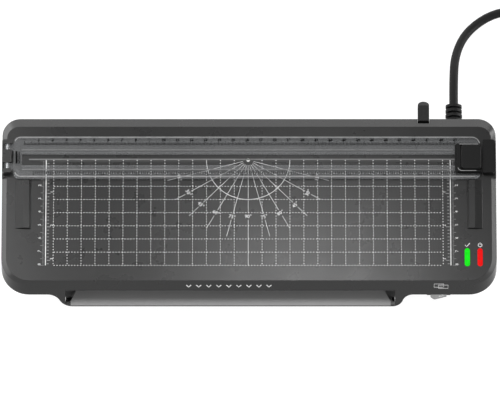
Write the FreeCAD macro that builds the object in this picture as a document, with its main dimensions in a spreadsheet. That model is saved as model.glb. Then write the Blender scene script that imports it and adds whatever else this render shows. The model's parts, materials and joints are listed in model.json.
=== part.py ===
import FreeCAD, Part
import math
import os
import re

import Sketcher

# Pouch laminator with a paper trimmer on its deck, in millimetres.
# Frame: X to the right along the mouth, Y to the rear, Z up. The origin is under the middle of the
# machine, on the surface it stands on. The driving sizes are cells of one spreadsheet, and each
# sub-part's own sizes stand next to the function that builds it.

V = FreeCAD.Vector
doc = FreeCAD.newDocument("PouchLaminator")
sheet = doc.addObject("Spreadsheet::Sheet", "Sheet")
aliases = {}
pieces = {}


# ---------------------------------------------------------------- spreadsheet and expressions

def sizes(**values):
    """Write driving sizes to the sheet, one cell with an alias for each."""
    for alias, value in values.items():
        cell = f"B{len(aliases) + 1}"
        sheet.set(f"A{len(aliases) + 1}", alias)
        sheet.set(cell, str(value))
        sheet.setAlias(cell, alias)
        aliases[alias] = cell
    sheet.recompute()


def worth(expression):
    """The number that an expression of sheet cells stands for now."""
    return float(sheet.evalExpression(str(expression)))


def bind(obj, prop, expression):
    """Bind a property to an expression of sheet cells."""
    text = re.sub(r"[a-z]\w*", lambda word: "Sheet." + word[0] if word[0] in aliases else word[0],
                  str(expression))
    obj.setExpression(prop, text)


def put(obj, x=0, y=0, z=0):
    for axis, expression in zip("xyz", (x, y, z)):
        bind(obj, f"Placement.Base.{axis}", expression)
    return obj


# ---------------------------------------------------------------- primitives and booleans

TURNED = {
    "x": FreeCAD.Rotation(V(0, 1, 0), 90),
    "y": FreeCAD.Rotation(V(1, 0, 0), -90),
    "z": FreeCAD.Rotation(),
}


def block(x, y, z):
    """Box between the low and high expressions of each axis."""
    obj = doc.addObject("Part::Box", "block")
    for prop, (low, high) in zip(("Length", "Width", "Height"), (x, y, z)):
        bind(obj, prop, f"({high}) - ({low})")
    return put(obj, x[0], y[0], z[0])


def rod(axis, at, low, high, radius):
    """Cylinder along an axis, from low to high, with its centre at the two other coordinates."""
    obj = doc.addObject("Part::Cylinder", "rod")
    obj.Placement = FreeCAD.Placement(V(), TURNED[axis])
    bind(obj, "Radius", radius)
    bind(obj, "Height", f"({high}) - ({low})")
    base = list(at)
    base.insert("xyz".index(axis), low)
    return put(obj, *base)


def fuse(*shapes):
    obj = doc.addObject("Part::MultiFuse", "fuse")
    obj.Shapes = list(shapes)
    obj.Refine = True
    return obj


def cut(base, *tools):
    obj = doc.addObject("Part::Cut", "cut")
    obj.Base = base
    obj.Tool = tools[0] if len(tools) == 1 else fuse(*tools)
    obj.Refine = True
    return obj


def common(one, other):
    obj = doc.addObject("Part::MultiCommon", "common")
    obj.Shapes = [one, other]
    obj.Refine = True
    return obj


def group(*shapes):
    """Several separate solids in one node."""
    obj = doc.addObject("Part::Compound", "group")
    obj.Links = list(shapes)
    return obj


def rounded(base, radius, chosen):
    """Fillet the edges of base that chosen(edge) picks."""
    doc.recompute()
    obj = doc.addObject("Part::Fillet", "fillet")
    obj.Base = base
    size = worth(radius)
    picked = [n for n, edge in enumerate(base.Shape.Edges, 1) if chosen(edge)]
    obj.Edges = [(n, size, size) for n in picked]
    return obj


def along(axis, **limits):
    """An edge test: straight, parallel to the axis, and with its middle inside the limits."""
    way = {"x": V(1, 0, 0), "y": V(0, 1, 0), "z": V(0, 0, 1)}[axis]

    def chosen(edge):
        if edge.Curve.TypeId != "Part::GeomLine" or abs(edge.Curve.Direction.dot(way)) < 0.999:
            return False
        middle = edge.CenterOfMass
        return all(low <= getattr(middle, name) <= high for name, (low, high) in limits.items())

    return chosen


# ---------------------------------------------------------------- sketches and PartDesign bodies

def new_body(name):
    return doc.addObject("PartDesign::Body", name)


def new_sketch(body, plane, level, name="sketch"):
    """Empty sketch parallel to one of the body's own origin planes, at a level along its normal."""
    sketch = body.newObject("Sketcher::SketchObject", name)
    support = next(o for o in body.Origin.OriginFeatures if o.Role == plane + "_Plane")
    sketch.AttachmentSupport = [(support, "")]
    sketch.MapMode = "FlatFace"
    bind(sketch, "AttachmentOffset.Base.z", level)
    return sketch


def hold(sketch, kind, where, expression):
    """Named sketch constraint whose datum is bound to the sheet."""
    number = sketch.addConstraint(Sketcher.Constraint(kind, *where, worth(expression)))
    name = f"size{number}"
    sketch.renameConstraint(number, name)
    bind(sketch, f"Constraints.{name}", expression)


def draw_polygon(sketch, corners):
    """Closed outline of straight edges. Each corner is a pair of expressions."""
    flat = [V(worth(u), worth(v), 0) for u, v in corners]
    first = sketch.GeometryCount
    count = len(flat)
    for n in range(count):
        sketch.addGeometry(Part.LineSegment(flat[n], flat[(n + 1) % count]))
    for n in range(count):
        after = first + (n + 1) % count
        sketch.addConstraint(Sketcher.Constraint("Coincident", first + n, 2, after, 1))
    for n, (u, v) in enumerate(corners):
        hold(sketch, "DistanceX", (-1, 1, first + n, 1), u)
        hold(sketch, "DistanceY", (-1, 1, first + n, 1), v)


def draw_circle(sketch, centre, radius):
    u, v = centre
    number = sketch.addGeometry(Part.Circle(V(worth(u), worth(v), 0), V(0, 0, 1), worth(radius)))
    hold(sketch, "DistanceX", (-1, 1, number, 3), u)
    hold(sketch, "DistanceY", (-1, 1, number, 3), v)
    hold(sketch, "Radius", (number,), radius)


def draw_rounded(sketch, left, right, front, rear, front_radius, rear_radius):
    """Rectangle with arcs at its corners, drawn anticlockwise from the front edge."""
    x0, x1, y0, y1 = worth(left), worth(right), worth(front), worth(rear)
    a, b = worth(front_radius), worth(rear_radius)
    corners = (
        ((x1 - a, y0 + a), a, -90), ((x1 - b, y1 - b), b, 0),
        ((x0 + b, y1 - b), b, 90), ((x0 + a, y0 + a), a, 180),
    )
    arcs = []
    for (u, v), radius, start in corners:
        circle = Part.Circle(V(u, v, 0), V(0, 0, 1), radius)
        turn = (math.radians(start), math.radians(start + 90))
        arcs.append(sketch.addGeometry(Part.ArcOfCircle(circle, *turn)))
    for n, arc in enumerate(arcs):
        after = arcs[(n + 1) % 4]
        ends = (sketch.getPoint(arc, 2), sketch.getPoint(after, 1))
        line = sketch.addGeometry(Part.LineSegment(*ends))
        sketch.addConstraint(Sketcher.Constraint("Tangent", arc, 2, line, 1))
        sketch.addConstraint(Sketcher.Constraint("Tangent", line, 2, after, 1))
        sketch.addConstraint(Sketcher.Constraint("Horizontal" if n % 2 else "Vertical", line))
        if n == 0:
            hold(sketch, "DistanceX", (-1, 1, line, 1), right)
        elif n == 1:
            hold(sketch, "DistanceY", (-1, 1, line, 1), rear)
        elif n == 2:
            hold(sketch, "DistanceX", (-1, 1, line, 1), left)
        else:
            hold(sketch, "DistanceY", (-1, 1, line, 1), front)
    for arc, radius in zip(arcs, (front_radius, rear_radius, rear_radius, front_radius)):
        hold(sketch, "Radius", (arc,), radius)


def pad(body, sketch, length):
    feature = body.newObject("PartDesign::Pad", "pad")
    feature.Profile = sketch
    bind(feature, "Length", length)
    return feature


def pocket_all(body, sketch):
    """Cut a sketch right through the body, both ways."""
    doc.recompute()
    before = body.Shape.Volume
    feature = body.newObject("PartDesign::Pocket", "pocket")
    feature.Profile = sketch
    feature.Type = "ThroughAll"
    feature.Midplane = True
    doc.recompute()
    if body.Shape.Volume >= before:
        raise RuntimeError(f"the pocket in {body.Name} cuts nothing")
    return feature


def prism(name, plane, low, high, corners, holes=()):
    """Body with one outline padded from low to high along the plane's normal, and round holes.

    The XZ plane's normal points to -Y, so there low and high are read along -Y.
    """
    body = new_body(name)
    sketch = new_sketch(body, plane, low)
    draw_polygon(sketch, corners)
    pad(body, sketch, f"({high}) - ({low})")
    if holes:
        bores = new_sketch(body, plane, low, "bores")
        for u, v, radius in holes:
            draw_circle(bores, (u, v), radius)
        pocket_all(body, bores)
    return body


def lofted(name, sections):
    """Body with flat walls between round-cornered outlines, given from the lowest up.

    A section is its level and the six arguments of draw_rounded.
    """
    body = new_body(name)
    sketches = []
    for level, *outline in sections:
        sketches.append(new_sketch(body, "XY", level, "section"))
        draw_rounded(sketches[-1], *outline)
    feature = body.newObject("PartDesign::AdditiveLoft", "loft")
    feature.Profile = sketches[0]
    feature.Sections = sketches[1:]
    feature.Ruled = True
    return body


def turned(name, plane, profile, at):
    """Body of revolution: the profile in (radius, height) pairs, about the body's own vertical axis
    of the plane's sketch, then moved to its place."""
    body = new_body(name)
    sketch = new_sketch(body, plane, 0)
    draw_polygon(sketch, profile)
    feature = body.newObject("PartDesign::Revolution", "revolution")
    feature.Profile = sketch
    feature.ReferenceAxis = (sketch, ["V_Axis"])
    feature.Angle = 360
    return put(body, *at)


def piece(label, obj):
    """Name a finished sub-part: the label is its node."""
    obj.Label = label
    pieces[label] = obj
    return obj


# ---------------------------------------------------------------- driving sizes of the machine

sizes(
    half_width=178, front_low=-69.6, rear_low=61, rear_radius=13, front_radius=20,
    half_deck=174.5, front_deck=-63.3, rear_deck=53.5, deck_rear_radius=9, deck_front_radius=17,
    deck_top=54, chamfer_foot=49.5, front_chamfer=-65.4, split_level=40.5,
    wall=2.4, deck_wall=2.5,
    mouth_left=-132, mouth_right=105, mouth_top=44.3, lip_level=31, lip_bottom=29.3, lip_front=-74.9,
    lap_front=-74.5, lap_seat=0.9, lap_sheet=0.8,
    ramp_front_left=-128.3, ramp_front_right=101.8,
    bib_left=-127, bib_left_end=-145, bib_right=103, bib_right_end=118,
    base_bottom=3, base_floor=5.5, base_half_width=168, base_front=-57, base_rear=52,
    nip_level=30, roller_radius=8.85, roller_gap=0.3, shaft_radius=3, running=0.06,
    frame_left=-139.5, frame_right=111, frame_sheet=1.5, frame_bottom=5.5, frame_top=50,
    cutting_line=28,
)
sizes(upper_axis=worth("nip_level + roller_radius + roller_gap / 2"),
      lower_axis=worth("nip_level - roller_radius - roller_gap / 2"))

sizes(
    release_y=26, release_z=39, release_radius=3,
    boss_radius=3.5, boss_bore=1.6, boss_left=-160, boss_front=-42, boss_rear=45,
    boss_right_front=147, boss_right_rear=163,
    hinge_axis_x=-174.2, hinge_axis_z=57.4,
    arm_left=-165, arm_right=166.5, arm_front=13.3, arm_rear=44.5, arm_bottom=54.4, arm_sheet=1.8,
    slot_front=23, slot_rear=32, slot_left=-163.6, slot_right=165,
    switch_left=128, switch_right=145, switch_front=-64.9, switch_bottom=25, switch_top=39.3,
    relief_x=148.6, relief_z=22, cord_diameter=6.4,
)

BOSSES = (
    ("boss_left", "boss_front"), ("boss_left", "boss_rear"),
    ("boss_right_front", "boss_front"), ("boss_right_rear", "boss_rear"),
)


# ---------------------------------------------------------------- covers

sizes(
    ear_inner=171, ear_front=15, ear_rear=43, vault=2.6,
    lens_green_x=156.7, lens_red_x=165.9, lens_front=-52.6, lens_rear=-39.1, lens_half=1.85,
    strip_left=-150.5, strip_right=165.5, strip_half=1.6, strip_deep=1,
    lever_slot_left=121.7, lever_slot_right=130.3, lever_slot_front=56.7, lever_slot_bottom=24,
)


def lens_shape(x, low, high, grow):
    """Upright light guide with round ends, seen from above."""
    half = f"lens_half + {grow}"
    return fuse(
        block((f"{x} - ({half})", f"{x} + {half}"), ("lens_front + lens_half", "lens_rear - lens_half"),
              (low, high)),
        rod("z", (x, "lens_front + lens_half"), low, high, half),
        rod("z", (x, "lens_rear - lens_half"), low, high, half),
    )


def lip_curve(side, flank, step):
    """Piece of the front panel whose lower edge falls in an S from the body's edge to the lip.

    side is the end on the body's edge, flank the end on the lip, and step is +1 or -1 along X from
    side to flank. Two equal arcs, tangent to both edges, meet half way.
    """
    reach = f"abs({flank} - ({side}))"
    drop = "(split_level - lip_bottom)"
    radius = f"({reach} * {reach} + {drop} * {drop}) / (4 * {drop})"
    middle_x = f"(({side}) + ({flank})) / 2"
    middle_z = "(split_level + lip_bottom) / 2"
    depth = ("lip_front - 3", "front_deck + 8")
    ends = (side, flank) if step > 0 else (flank, side)
    halves = (middle_x, flank) if step > 0 else (flank, middle_x)
    upper = cut(
        block(ends, depth, (middle_z, "split_level + 1")),
        rod("y", (side, f"split_level - {radius}"), *depth, radius),
    )
    lower = common(
        block(halves, depth, ("lip_bottom", middle_z)),
        rod("y", (flank, f"lip_bottom + {radius}"), *depth, radius),
    )
    return fuse(upper, lower)


def front_plane(level, inward=0):
    """Y of the sloping front face at a level."""
    slope = "(front_deck - front_low) / (deck_top - split_level)"
    return f"front_deck - (deck_top - ({level})) * {slope} + {inward}"


def front_panel():
    """The sloping front face where it reaches down round the mouth."""
    outline = fuse(
        block(("bib_left", "bib_right"), ("lip_front - 3", "front_deck + 8"),
              ("lip_bottom", "split_level + 1")),
        lip_curve("bib_left_end", "bib_left", 1),
        lip_curve("bib_right_end", "bib_right", -1),
    )
    slab = prism("front_slab", "YZ", "bib_left_end - 1", "bib_right_end + 1", [
        (front_plane("lip_bottom - 1"), "lip_bottom - 1"),
        (front_plane("split_level + 2"), "split_level + 2"),
        (front_plane("split_level + 2", "wall"), "split_level + 2"),
        (front_plane("lip_bottom - 1", "wall"), "lip_bottom - 1"),
    ])
    return common(outline, slab)


def top_cover():
    """Deck with its sloping edges, the front panel round the mouth, and the screw bosses."""
    outside = lofted("cover_outside", [
        ("split_level", "-half_width", "half_width", "front_low", "rear_low",
         "front_radius", "rear_radius"),
        ("chamfer_foot", "-half_width", "half_width", "front_chamfer", "rear_low",
         "front_radius", "rear_radius"),
        ("deck_top", "-half_deck", "half_deck", "front_deck", "rear_deck",
         "deck_front_radius", "deck_rear_radius"),
    ])
    inside = lofted("cover_inside", [
        ("split_level - 0.5", "-half_width + vault", "half_width - vault",
         "front_low + vault", "rear_low - vault", "front_radius - vault", "rear_radius - vault"),
        ("chamfer_foot - 2", "-half_width + vault", "half_width - vault",
         "front_chamfer + vault - 0.9", "rear_low - vault", "front_radius - vault",
         "rear_radius - vault"),
        ("deck_top - deck_wall", "-half_deck + vault", "half_deck - vault",
         "front_chamfer + 3.7", "rear_deck - 0.5", "deck_front_radius - vault",
         "deck_rear_radius - vault"),
    ])
    ears = [
        block((low, high), ("ear_front", "ear_rear"), ("split_level", "deck_top"))
        for low, high in (("-half_width", "-ear_inner"), ("ear_inner", "half_width"))
    ]
    posts = [
        rod("z", (x, y), "split_level", "deck_top - deck_wall + 0.5", "boss_radius")
        for x, y in BOSSES
    ]
    bores = [rod("z", (x, y), "split_level - 1", "deck_top - deck_wall - 2", "boss_bore")
             for x, y in BOSSES]
    shell = fuse(cut(fuse(outside, *ears), inside), front_panel(), *posts)
    openings = [
        block(("mouth_left", "mouth_right"), ("lip_front - 3", "front_deck + 9"),
              ("lip_level", "mouth_top")),
        block(("ramp_front_left - 0.2", "ramp_front_right + 0.2"), ("lip_front - 3", "front_deck + 9"),
              ("lip_level - lap_seat", "mouth_top")),
        block(("strip_left", "strip_right"), ("cutting_line - strip_half", "cutting_line + strip_half"),
              ("deck_top - strip_deep", "deck_top + 1")),
        block(("lever_slot_left", "lever_slot_right"), ("lever_slot_front", "rear_low + 1"),
              ("split_level - 1", "deck_top + 1")),
        lens_shape("lens_green_x", "deck_top - 4", "deck_top + 1", "0.1"),
        lens_shape("lens_red_x", "deck_top - 4", "deck_top + 1", "0.1"),
    ]
    return piece("top_cover", cut(shell, *openings, *bores))


sizes(
    exit_left=-132, exit_right=105, exit_bottom=27.4, exit_top=35.4,
    vent_count=14, vent_step=12, vent_first=-78, vent_width=4, vent_front=-20, vent_rear=12,
    foot_x=150, foot_front=-44, foot_rear=38, foot_radius=7, foot_tall=3,
    screw_head_radius=3.2, relief_hole=5.3,
    guide_front=32, guide_rear=58.2, guide_sheet=1.4, guide_end=2, guide_end_front=38,
    notch_count=19, notch_first=9, notch_step=12, notch_wide=4, notch_deep=5,
    chin_front=-72.2, chin_top=28.9, chin_sheet=1.3, chin_knee=-66.3, chin_root=-62, chin_seat=23.1,
    chin_foot=21.9,
)


def base_cover():
    """Lower shell, drawn in towards the floor, open on top, with slots, vents and bosses."""
    def hull(inset, low, high):
        return [
            (low, f"-base_half_width + {inset}", f"base_half_width - {inset}",
             f"base_front + {inset}", f"base_rear - {inset}", f"14 - {inset}", f"10 - {inset}"),
            (high, f"-half_width + 1 + {inset}", f"half_width - 1 - {inset}",
             f"front_low + 1 + {inset}", f"rear_low - 1 - {inset}", f"19 - {inset}", f"12 - {inset}"),
        ]

    outside = lofted("base_outside", hull("0", "base_bottom", "split_level"))
    inside = lofted("base_inside", hull("wall", "base_floor", "split_level + 0.2"))
    posts = [rod("z", (x, y), "base_floor - 0.5", "split_level", "boss_radius") for x, y in BOSSES]
    shell = fuse(cut(outside, inside), *posts)
    screw_ways = []
    for x, y in BOSSES:
        screw_ways.append(rod("z", (x, y), "base_bottom - 1", "split_level + 1", "boss_bore"))
        screw_ways.append(rod("z", (x, y), "base_bottom - 1", "base_bottom + 2", "screw_head_radius"))
    vents = []
    for n in range(int(worth("vent_count"))):
        left = f"vent_first + {n} * vent_step"
        vents.append(block((left, f"{left} + vent_width"), ("vent_front", "vent_rear"),
                           ("base_bottom - 1", "base_floor + 1")))
    openings = [
        block(("mouth_left - 4.2", "mouth_right + 4.2"), ("lip_front", "-50"),
              ("lip_bottom - 6.2", "split_level + 1")),
        block(("bib_left_end - 0.3", "bib_right_end + 0.3"), ("lip_front", "front_low + 4.6"),
              ("split_level - 4", "split_level + 1")),
        block(("exit_left", "exit_right"), ("45", "rear_low + 1"), ("exit_bottom", "exit_top")),
        block(("switch_left", "switch_right"), ("lip_front", "-55"), ("switch_bottom", "switch_top")),
        block(("lever_slot_left", "lever_slot_right"), ("48", "rear_low + 1"),
              ("lever_slot_bottom", "split_level + 1")),
        rod("y", ("relief_x", "relief_z"), "45", "rear_low + 1", "relief_hole"),
    ]
    # Beside the feed lip's apron, a chin on each side closes the mouth from below.
    chins = [
        prism("chin", "YZ", low, high, [
            ("chin_front", "chin_top"), ("chin_front + chin_sheet", "chin_top"),
            ("chin_knee", "chin_seat + 0.9"), ("chin_knee", "chin_seat"), ("chin_root", "chin_seat"),
            ("chin_root", "chin_foot"), ("chin_knee - 0.8", "chin_foot"),
        ])
        for low, high in (("mouth_left", "bib_left - 0.05"), ("bib_right + 0.05", "mouth_right"))
    ]
    return piece("base_cover", fuse(cut(shell, *openings, *screw_ways, *vents), *chins))


def rubber_feet():
    feet = []
    for x in ("-foot_x", "foot_x"):
        for y in ("foot_front", "foot_rear"):
            foot = doc.addObject("Part::Cone", "foot")
            bind(foot, "Radius1", "foot_radius - 0.8")
            bind(foot, "Radius2", "foot_radius")
            bind(foot, "Height", "foot_tall")
            feet.append(put(foot, x, y, 0))
    return piece("rubber_feet", group(*feet))


def base_screws():
    """Pan-head screws from below, into the top cover's bosses."""
    screws = []
    for x, y in BOSSES:
        head = rod("z", (x, y), "base_bottom + 0.2", "base_bottom + 2", "screw_head_radius - 0.3")
        cross = fuse(
            block((f"{x} - 1.6", f"{x} + 1.6"), (f"{y} - 0.3", f"{y} + 0.3"),
                  ("base_bottom", "base_bottom + 1.2")),
            block((f"{x} - 0.3", f"{x} + 0.3"), (f"{y} - 1.6", f"{y} + 1.6"),
                  ("base_bottom", "base_bottom + 1.2")),
        )
        shank = rod("z", (x, y), "base_bottom + 2", "deck_top - 8", "boss_bore - 0.1")
        screws.append(cut(fuse(head, shank), cross))
    return piece("base_screws", group(*screws))


sizes(ramp_sheet=1.9, ramp_throat=-64,
      ramp_left=-124.8, ramp_right=98, ramp_end=-46.6, gutter=2, gutter_front=-66)


def feed_lip():
    """Feed table in the mouth: a flat ramp on ribs, over a deeper gutter that carries it.

    A thin lap along the front of the ramp covers the strip of the top cover below the mouth.
    """
    front = front_plane("lip_level", "wall")
    ramp = prism("ramp", "XY", "lip_level - ramp_sheet", "lip_level", [
        ("ramp_front_left", front), ("ramp_front_right", front), ("ramp_right", "ramp_throat"),
        ("ramp_right", "ramp_end"), ("ramp_left", "ramp_end"), ("ramp_left", "ramp_throat"),
    ])
    lap = block(("ramp_front_left", "ramp_front_right"), ("lap_front", f"{front} + 0.5"),
                ("lip_level - lap_sheet", "lip_level"))
    floor = "lip_bottom - 6"
    ribs = [
        block((f"{x} - 0.7", f"{x} + 0.7"), ("gutter_front", "ramp_end"),
              (f"{floor} + gutter - 0.2", "lip_level - ramp_sheet + 0.2"))
        for x in ("ramp_left + 2", "-88", "-51", "-13.5", "24", "61", "ramp_right - 2")
    ]
    trough = cut(
        block(("mouth_left - 4", "mouth_right + 4"), ("gutter_front", "ramp_end"),
              (floor, "split_level - 1.5")),
        block(("mouth_left - 2", "mouth_right + 2"), ("gutter_front - 1", "ramp_end + 1"),
              (f"{floor} + gutter", "split_level")),
    )
    apron = prism("apron", "YZ", "bib_left", "bib_right", [
        (front_plane("lip_bottom", "wall"), "lip_bottom"),
        (front_plane("lip_bottom", "wall + 1.8"), "lip_bottom"),
        ("gutter_front", f"{floor} + gutter"), ("gutter_front", floor),
    ])
    return piece("feed_lip", fuse(ramp, lap, trough, apron, *ribs))


def exit_guide():
    """Two combs behind the rollers that lead the pouch out of the rear slot."""
    left, right = "exit_left + 0.5", "exit_right - 0.5"
    bottom, top = "exit_bottom + 0.2", "exit_top - 0.2"
    combs = []
    for low, high in ((bottom, f"{bottom} + guide_sheet"), (f"{top} - guide_sheet", top)):
        plate = block((left, right), ("guide_front", "guide_rear"), (low, high))
        notches = []
        for n in range(int(worth("notch_count"))):
            start = f"exit_left + notch_first + {n} * notch_step"
            notches.append(block((start, f"{start} + notch_wide"),
                                 ("guide_front - 1", "guide_front + notch_deep"),
                                 (f"{low} - 1", f"{high} + 1")))
        combs.append(cut(plate, *notches))
    ends = [
        block(across, ("guide_end_front", "guide_rear"), (bottom, top))
        for across in ((left, f"{left} + guide_end"), (f"{right} - guide_end", right))
    ]
    return piece("exit_guide", fuse(*combs, *ends))


def lenses():
    for label, x in (("ready_lens", "lens_green_x"), ("power_lens", "lens_red_x")):
        piece(label, lens_shape(x, "deck_top - 5.2", "deck_top + 0.3", "0"))


def cutting_strip():
    """Soft strip let into the deck, on which the blade runs."""
    return piece("cutting_strip", block(
        ("strip_left", "strip_right"), ("cutting_line - strip_half", "cutting_line + strip_half"),
        ("deck_top - strip_deep", "deck_top")))


sizes(stop_inner=156.6, stop_wall=1.7, stop_ridge=162.5, stop_outer=168, stop_front=-24.1,
      stop_rear=12.4, stop_tall=2)


def side_stops():
    """Ridges that square the paper: a steep inner wall, a flat land and an outer slope."""
    for label, side in (("side_stop_left", -1), ("side_stop_right", 1)):
        def x(name, side=side):
            return f"{side} * {name}"
        corners = [
            (x("stop_inner"), "deck_top"), (x("stop_outer"), "deck_top"),
            (x("(stop_outer - 0.4)"), "deck_top + 0.5"), (x("stop_ridge"), "deck_top + stop_tall"),
            (x("(stop_inner + stop_wall)"), "deck_top + stop_tall"),
        ]
        piece(label, prism(label, "XZ", "-stop_rear", "-stop_front",
                           corners if side > 0 else corners[::-1]))


# ---------------------------------------------------------------- ruler arm and its hinge

sizes(
    bracket_left=-177.5, bracket_right=-171, bracket_front=16.7, bracket_rear=41.8, bracket_top=60,
    lug_front=20, lug_rear=34.4, lug_wide=4.2, lug_radius=2.4, pin_radius=1,
    cap_left=-169.5, cap_front=13.3, cap_rear=44.5, cap_top=58.1, cap_corner=4.4,
    latch_left=168.3, latch_right=176.6, latch_top=59.6,
)


def hinge_bracket():
    """Block on the left ear, notched for the arm's two lugs, bored for the pin."""
    body = rounded(
        block(("bracket_left", "bracket_right"), ("bracket_front", "bracket_rear"),
              ("deck_top", "bracket_top")),
        "1", along("z"))
    notches = [
        block(("bracket_left + 0.5", "bracket_right + 1"), (f"{front} - 0.2", f"{front} + lug_wide + 0.2"),
              ("deck_top + 0.3", "bracket_top + 1"))
        for front in ("lug_front", "lug_rear")
    ]
    bore = rod("y", ("hinge_axis_x", "hinge_axis_z"), "bracket_front + 0.6", "bracket_rear - 0.6",
               "pin_radius")
    return piece("hinge_bracket", cut(body, *notches, bore))


def hinge_pin():
    return piece("hinge_pin", rod("y", ("hinge_axis_x", "hinge_axis_z"), "bracket_front + 0.6",
                                  "bracket_rear - 0.6", "pin_radius"))


def latch_block():
    """Black block on the right ear that the arm's free end drops beside."""
    return piece("latch_block", rounded(
        block(("latch_left", "latch_right"), ("bracket_front", "bracket_rear"),
              ("deck_top", "latch_top")),
        "1", along("z")))


def arm_end_cap():
    """Clear bar that closes the arm's left end and carries the two hinge lugs."""
    bar = rounded(
        block(("cap_left", "arm_left"), ("cap_front", "cap_rear"), ("arm_bottom", "cap_top")),
        "cap_corner", along("z", x=(-180, -168)))
    lugs = []
    for front in ("lug_front", "lug_rear"):
        rear = f"{front} + lug_wide"
        lugs.append(rod("y", ("hinge_axis_x", "hinge_axis_z"), front, rear, "lug_radius"))
        lugs.append(block(("hinge_axis_x", "cap_left + 0.5"), (front, rear),
                          ("hinge_axis_z - lug_radius", "cap_top")))
    bore = rod("y", ("hinge_axis_x", "hinge_axis_z"), "lug_front - 1", "lug_rear + lug_wide + 1",
               "pin_radius + running")
    return piece("arm_end_cap", cut(fuse(bar, *lugs), bore))


sizes(edge_rib=1.3, edge_rib_tall=1.9, slot_rib=1.2, slot_rib_tall=1, arm_rear_corner=6, arm_front_corner=4)


def ruler_arm():
    """Clear arm: a thin sheet with raised edges, a long slot and a rib each side of the slot."""
    top = "arm_bottom + arm_sheet"
    sheet_body = new_body("arm_sheet_body")
    outline = new_sketch(sheet_body, "XY", "arm_bottom")
    draw_polygon(outline, [
        ("arm_left", "arm_front"), ("arm_right", "arm_front"), ("arm_right", "arm_rear"),
        ("arm_left", "arm_rear"),
    ])
    pad(sheet_body, outline, "arm_sheet + edge_rib_tall")
    blank = rounded(sheet_body, "arm_rear_corner", along("z", y=(40, 50), x=(100, 200)))
    blank = rounded(blank, "arm_front_corner", along("z", y=(0, 20), x=(100, 200)))
    tray = block(("arm_left - 1", "arm_right - edge_rib"), ("arm_front + edge_rib", "arm_rear - edge_rib"),
                 (top, f"{top} + edge_rib_tall + 1"))
    inner_tray = rounded(tray, "arm_front_corner - edge_rib", along("z", x=(100, 200)))
    slot = block(("slot_left", "slot_right"), ("slot_front", "slot_rear"),
                 ("arm_bottom - 1", f"{top} + edge_rib_tall + 1"))
    ribs = [
        block(("arm_left + 0.8", "arm_right - 1"), (low, high), (f"{top} - 0.2", f"{top} + slot_rib_tall"))
        for low, high in (("slot_front - slot_rib", "slot_front"), ("slot_rear", "slot_rear + slot_rib"))
    ]
    gate = block(("arm_right - edge_rib - 2", "arm_right + 1"), ("arm_front + edge_rib", "slot_rear + 8"),
                 (top, f"{top} + edge_rib_tall + 1"))
    steps = [
        block(("arm_left + 0.8", "arm_right - 3"), (low, high), (f"{top} - 0.2", f"{top} + 0.5"))
        for low, high in (("arm_front + 3.4", "arm_front + 4"), ("arm_rear - 4", "arm_rear - 3.4"))
    ]
    return piece("ruler_arm", cut(fuse(cut(blank, inner_tray), *ribs, *steps), slot, gate))


# ---------------------------------------------------------------- cutter that slides on the arm

sizes(
    carriage_left=148.2, carriage_right=167.3, carriage_half=11, carriage_bottom=57.5, carriage_sheet=1.6,
    head_left=152.5, head_right=167, head_half=9.1, head_bottom=61.1, head_top=63.5,
    holder_left=153.4, holder_right=164.6, holder_half=2.3, holder_bottom=56.4,
    blade_half=0.2, blade_left=155, blade_right=163, blade_tip=56,
    head_spring_radius=1.3, head_spring_wire=0.35, head_spring_x=159, head_spring_off=6.4,
)


def cutter_carriage():
    """Sliding base: a plate over the ribs, skirts that run outside them, and a rim for the head."""
    centre = "(slot_front + slot_rear) / 2"
    front, rear = f"{centre} - carriage_half", f"{centre} + carriage_half"
    plate_top = "carriage_bottom + carriage_sheet"
    plate = rounded(block(("carriage_left", "carriage_right"), (front, rear),
                          ("carriage_bottom", plate_top)), "1.4", along("z"))
    skirts = [
        block(("carriage_left + 1", "carriage_right - 1"), (low, high),
              ("carriage_bottom - 0.9", "carriage_bottom + 0.2"))
        for low, high in (("slot_front - slot_rib - 1.6", "slot_front - slot_rib - 0.3"),
                          ("slot_rear + slot_rib + 0.3", "slot_rear + slot_rib + 1.6"))
    ]
    rims = [
        block(("carriage_left + 1.6", "carriage_right - 1"), (f"{front} + 0.4", f"{centre} - head_half - 0.4"),
              (f"{plate_top} - 0.2", "head_bottom + 0.6")),
        block(("carriage_left + 1.6", "carriage_right - 1"), (f"{centre} + head_half + 0.4", f"{rear} - 0.4"),
              (f"{plate_top} - 0.2", "head_bottom + 0.6")),
        block(("carriage_left + 1.6", "head_left - 0.4"), (f"{front} + 0.4", f"{rear} - 0.4"),
              (f"{plate_top} - 0.2", "head_bottom + 0.6")),
    ]
    window = block(("holder_left - 0.4", "holder_right + 0.4"),
                   (f"{centre} - holder_half - 0.4", f"{centre} + holder_half + 0.4"),
                   ("carriage_bottom - 2", "head_top"))
    return piece("cutter_carriage", cut(fuse(plate, *skirts, *rims), window))


def cutter_head():
    """Button that presses the blade down: dished top, hollow for the springs."""
    centre = "(slot_front + slot_rear) / 2"
    button = block(("head_left", "head_right"), (f"{centre} - head_half", f"{centre} + head_half"),
                   ("head_bottom", "head_top"))
    button = rounded(button, "2.2", along("z"))
    crown = rounded(button, "0.7", lambda edge: edge.BoundBox.ZMin > worth("head_top") - 0.01)
    wells = [
        rod("z", ("head_spring_x", f"{centre} + {side} * head_spring_off"), "head_bottom - 1",
            "head_top - 1", "head_spring_radius + 0.6")
        for side in (-1, 1)
    ]
    return piece("cutter_head", cut(crown, *wells))


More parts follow.
